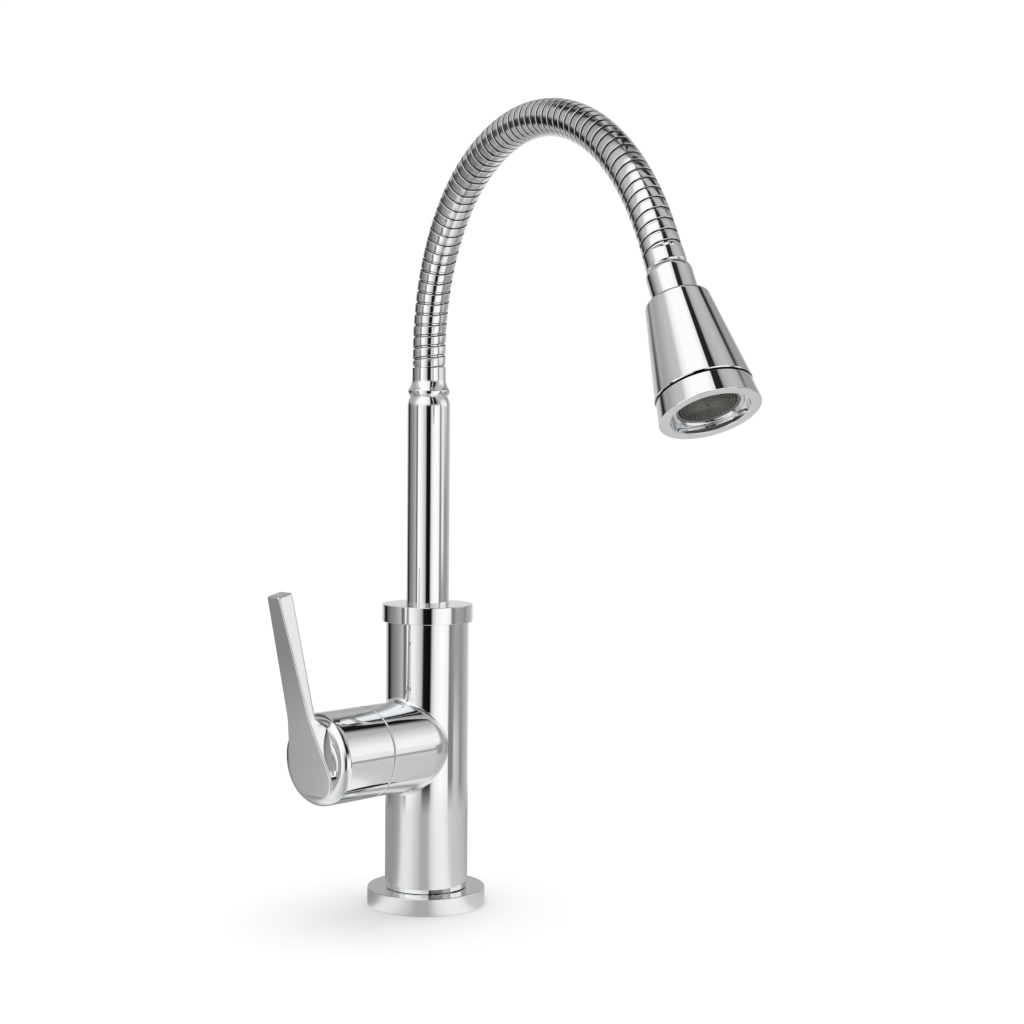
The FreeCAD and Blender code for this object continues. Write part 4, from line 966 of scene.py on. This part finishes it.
UPPER_ROUND = (
    (-180, 0.60), (-168, 0.20), (-150, 0.18), (-146, 0.02), (-136, 0.02), (-127, 0.28), (-97, 0.56),
    (-84, 0.60), (-77, 0.97), (-66, 1.12), (-20, 1.12), (-3, 0.95), (5, 0.93), (9, 0.02), (44, 0.02),
    (51, 0.36), (67, 0.52), (95, 0.57), (115, 0.44), (129, 0.36), (150, 0.36), (168, 0.50), (180, 0.60))
UPPER_RISE = ((-1.0, 0.0), (0.02, 0.0), (0.30, 1.0), (1.0, 1.0))
TABLE_FADE = ((0.0, 0.0), (0.25, 0.0), (0.36, 1.0), (1.0, 1.0))
BEHIND = ((-180, 1.0), (-124, 1.0), (-112, 0.0), (168, 0.0), (180, 1.0))

# Patches over the rounds: where they lie by turn and by rise, and their brightness.
PATCHES = (
    # a bright panel low at the right, for the front of the hub
    (turn_stops(66, 76, 108, 118),
     ((-1.0, 0.0), (-0.05, 0.0), (0.03, 0.80), (0.12, 1.0), (0.30, 0.95), (0.46, 0.5), (0.60, 0.0),
      (1.0, 0.0)), 1.03),
    # its lower edge, and a softer strip below that, for the lever's flank
    (turn_stops(72, 78, 89, 93), rise_stops(-0.095, -0.07, 0.03, 0.08), 0.92),
    (turn_stops(76, 83, 93, 100), rise_stops(-0.34, -0.28, -0.17, -0.13), 0.66),
    # pale walls behind, under and over the dark edge, for the top of the hose
    (BEHIND, rise_stops(-0.80, -0.65, -0.28, -0.20), 0.42),
    (BEHIND, rise_stops(0.10, 0.20, 0.55, 0.65), 0.45),
    # two dark bars high at the right, for the black lines along the top of the hub and its boss
    (((-180, 0.0), (111, 0.0), (118, 1.0), (131, 1.0), (135, 0.1), (144, 0.1), (148, 1.0), (156, 1.0),
      (163, 0.5), (172, 0.0), (180, 0.0)),
     ((-1.0, 0.0), (0.56, 0.0), (0.66, 1.0), (1.0, 1.0)), 0.01),
    # the shade on the table, for the underside of the hub
    (turn_stops(112, 124, 166, 176), ((-1.0, 1.0), (-0.72, 1.0), (-0.66, 0.0), (1.0, 0.0)), 0.15))


def tone(nodes, links, value, stops, unit=1.0):
    """The grey that belongs to a value, by stops of a value, in that unit, and a brightness."""
    low, high = stops[0][0] * unit, stops[-1][0] * unit
    share = nodes.new("ShaderNodeMapRange")
    share.inputs["From Min"].default_value = low
    share.inputs["From Max"].default_value = high
    links.new(value, share.inputs["Value"])
    greys = nodes.new("ShaderNodeValToRGB")
    links.new(share.outputs["Result"], greys.inputs["Fac"])
    points = greys.color_ramp.elements
    for index, (at, grey) in enumerate(stops):
        if index == len(points):
            points.new(1.0)
        points[index].position = (at * unit - low) / (high - low)
        points[index].color = (grey, grey, grey, 1)
    return greys.outputs["Color"]


def reach_along(nodes, links, vector, direction):
    """How far a vector reaches in a direction."""
    dot = nodes.new("ShaderNodeVectorMath")
    dot.operation = "DOT_PRODUCT"
    dot.inputs[1].default_value = direction
    links.new(vector, dot.inputs[0])
    return dot.outputs["Value"]


def turned_from(nodes, links, where, view):
    """The turn about the column, to the right of the direction towards the camera's place."""
    angle = nodes.new("ShaderNodeMath")
    angle.operation = "ARCTAN2"
    right, towards = (math.cos(view), -math.sin(view), 0), (-math.sin(view), -math.cos(view), 0)
    links.new(reach_along(nodes, links, where, right), angle.inputs[0])
    links.new(reach_along(nodes, links, where, towards), angle.inputs[1])
    return angle.outputs["Value"]


def studio_world(view):
    """White to the camera; to the metal, a round of soft boxes with dark flags between them."""
    world = bpy.data.worlds.new("Studio")
    bpy.context.scene.world = world
    world.use_nodes = True
    nodes, links = world.node_tree.nodes, world.node_tree.links
    nodes.clear()
    where = nodes.new("ShaderNodeTexCoord").outputs["Generated"]
    turn = turned_from(nodes, links, where, view)
    height = reach_along(nodes, links, where, (0, 0, 1))
    degree = math.radians(1.0)
    room = tone(nodes, links, turn, LEVEL_ROUND, degree)
    room = mixed(nodes, links, tone(nodes, links, height, UPPER_RISE), room,
                 tone(nodes, links, turn, UPPER_ROUND, degree))
    for by_turn, by_rise, grey in PATCHES:
        place = mixed(nodes, links, 1.0, tone(nodes, links, turn, by_turn, degree),
                      tone(nodes, links, height, by_rise), "MULTIPLY")
        room = mixed(nodes, links, place, room, (grey, grey, grey, 1))
    reflected = nodes.new("ShaderNodeBackground")
    links.new(room, reflected.inputs["Color"])
    surface = reflected.outputs["Background"]
    rays = nodes.new("ShaderNodeLightPath").outputs
    for ray, strength in (("Is Diffuse Ray", 0.93), ("Is Camera Ray", 1.02)):
        pale = nodes.new("ShaderNodeBackground")
        pale.inputs["Strength"].default_value = strength
        pale.inputs["Color"].default_value = (1, 1, 1, 1)
        surface = mixed_shaders(nodes, links, rays[ray], surface, pale.outputs["Background"])
    links.new(surface, nodes.new("ShaderNodeOutputWorld").inputs["Surface"])


def mixed_shaders(nodes, links, share, first, second):
    """The mix of two shaders by a share."""
    mix = nodes.new("ShaderNodeMixShader")
    links.new(share, mix.inputs["Fac"])
    links.new(first, mix.inputs[1])
    links.new(second, mix.inputs[2])
    return mix.outputs["Shader"]


def pale_floor(colour, view):
    """White and matt to the eye; to reflections in the metal it glows instead, with a painted reflection of
    the soft boxes and painted shade by turn round the foot, clear towards its edge.
    """
    floor, nodes, links, shader = new_material("Pale table")
    shader.inputs["Roughness"].default_value = 0.7
    shader.inputs["Base Color"].default_value = (*colour, 1)
    shader.inputs["Specular IOR Level"].default_value = 0.1
    where = nodes.new("ShaderNodeTexCoord").outputs["Object"]
    # The table's face to glossy rays: a painted glow, brighter where the soft boxes' painted reflections
    # lie and darker where painted shade lies, by turn.
    painted_glow = nodes.new("ShaderNodeEmission")
    turn = turned_from(nodes, links, where, view)
    links.new(tone(nodes, links, turn, TABLE_PAINTED_GLOW, math.radians(1.0)), painted_glow.inputs["Color"])
    reach = nodes.new("ShaderNodeVectorMath")
    reach.operation = "LENGTH"
    links.new(where, reach.inputs[0])
    clear = nodes.new("ShaderNodeBsdfTransparent")
    seen = mixed_shaders(nodes, links, tone(nodes, links, reach.outputs["Value"], TABLE_FADE),
                         painted_glow.outputs["Emission"], clear.outputs["BSDF"])
    glossy = nodes.new("ShaderNodeLightPath").outputs["Is Glossy Ray"]
    surface = mixed_shaders(nodes, links, glossy, shader.outputs["BSDF"], seen)
    links.new(surface, nodes["Material Output"].inputs["Surface"])
    return floor


class FAUCET_OT_stage(bpy.types.Operator):
    """Pale table, soft studio lights and the camera"""

    bl_idname = "faucet.stage"
    bl_label = "Stage"

    def execute(self, context):
        deselect()
        bpy.ops.object.camera_add()
        camera = context.object
        camera.name = "Camera"
        context.scene.camera = camera
        view = place_camera(camera)
        studio_world(view)
        deselect()
        bpy.ops.mesh.primitive_circle_add(vertices=96, radius=620 * MM, fill_type="NGON",
                                          location=(0, 0, -0.2 * MM))
        table = context.object
        table.name = "table"
        table.data.materials.append(pale_floor(context.scene.faucet_finish.floor, view))
        deselect()
        bpy.ops.object.light_add(type="AREA", location=(0, 0, 1600 * MM))
        lamp = context.object
        lamp.name = "Ceiling softbox"
        lamp.data.shape = "DISK"
        lamp.data.size = 1600 * MM
        lamp.data.energy = 9.0
        lamp.visible_glossy = False
        context.scene.view_settings.view_transform = "Standard"
        return {"FINISHED"}


# ---------------------------------------------------------------- registration

class FAUCET_PT_panel(bpy.types.Panel):
    """Buttons and sizes in the 3D view's sidebar"""

    bl_idname = "FAUCET_PT_panel"
    bl_label = "Bar Faucet"
    bl_space_type = "VIEW_3D"
    bl_region_type = "UI"
    bl_category = "Bar Faucet"

    def draw(self, context):
        layout = self.layout
        for operator in OPERATORS:
            layout.operator(operator.bl_idname)
        for group in (context.scene.faucet_gooseneck, context.scene.faucet_finish):
            box = layout.box()
            for name in group.__annotations__:
                box.prop(group, name)


OPERATORS = (FAUCET_OT_column, FAUCET_OT_lever, FAUCET_OT_riser, FAUCET_OT_gooseneck, FAUCET_OT_head,
             FAUCET_OT_screen, FAUCET_OT_inner, FAUCET_OT_stage)
CLASSES = (FaucetGooseneck, FaucetFinish, *OPERATORS, FAUCET_PT_panel)


def register():
    for cls in CLASSES:
        bpy.utils.register_class(cls)
    bpy.types.Scene.faucet_gooseneck = PointerProperty(type=FaucetGooseneck)
    bpy.types.Scene.faucet_finish = PointerProperty(type=FaucetFinish)


def unregister():
    del bpy.types.Scene.faucet_finish
    del bpy.types.Scene.faucet_gooseneck
    for cls in reversed(CLASSES):
        bpy.utils.unregister_class(cls)


def main():
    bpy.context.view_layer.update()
    register()
    bpy.ops.faucet.column()
    bpy.ops.faucet.lever()
    bpy.ops.faucet.riser()
    bpy.ops.faucet.gooseneck()
    bpy.ops.faucet.head()
    bpy.ops.faucet.screen()
    bpy.ops.faucet.inner()
    bpy.ops.faucet.stage()


if __name__ == "__main__":
    main()
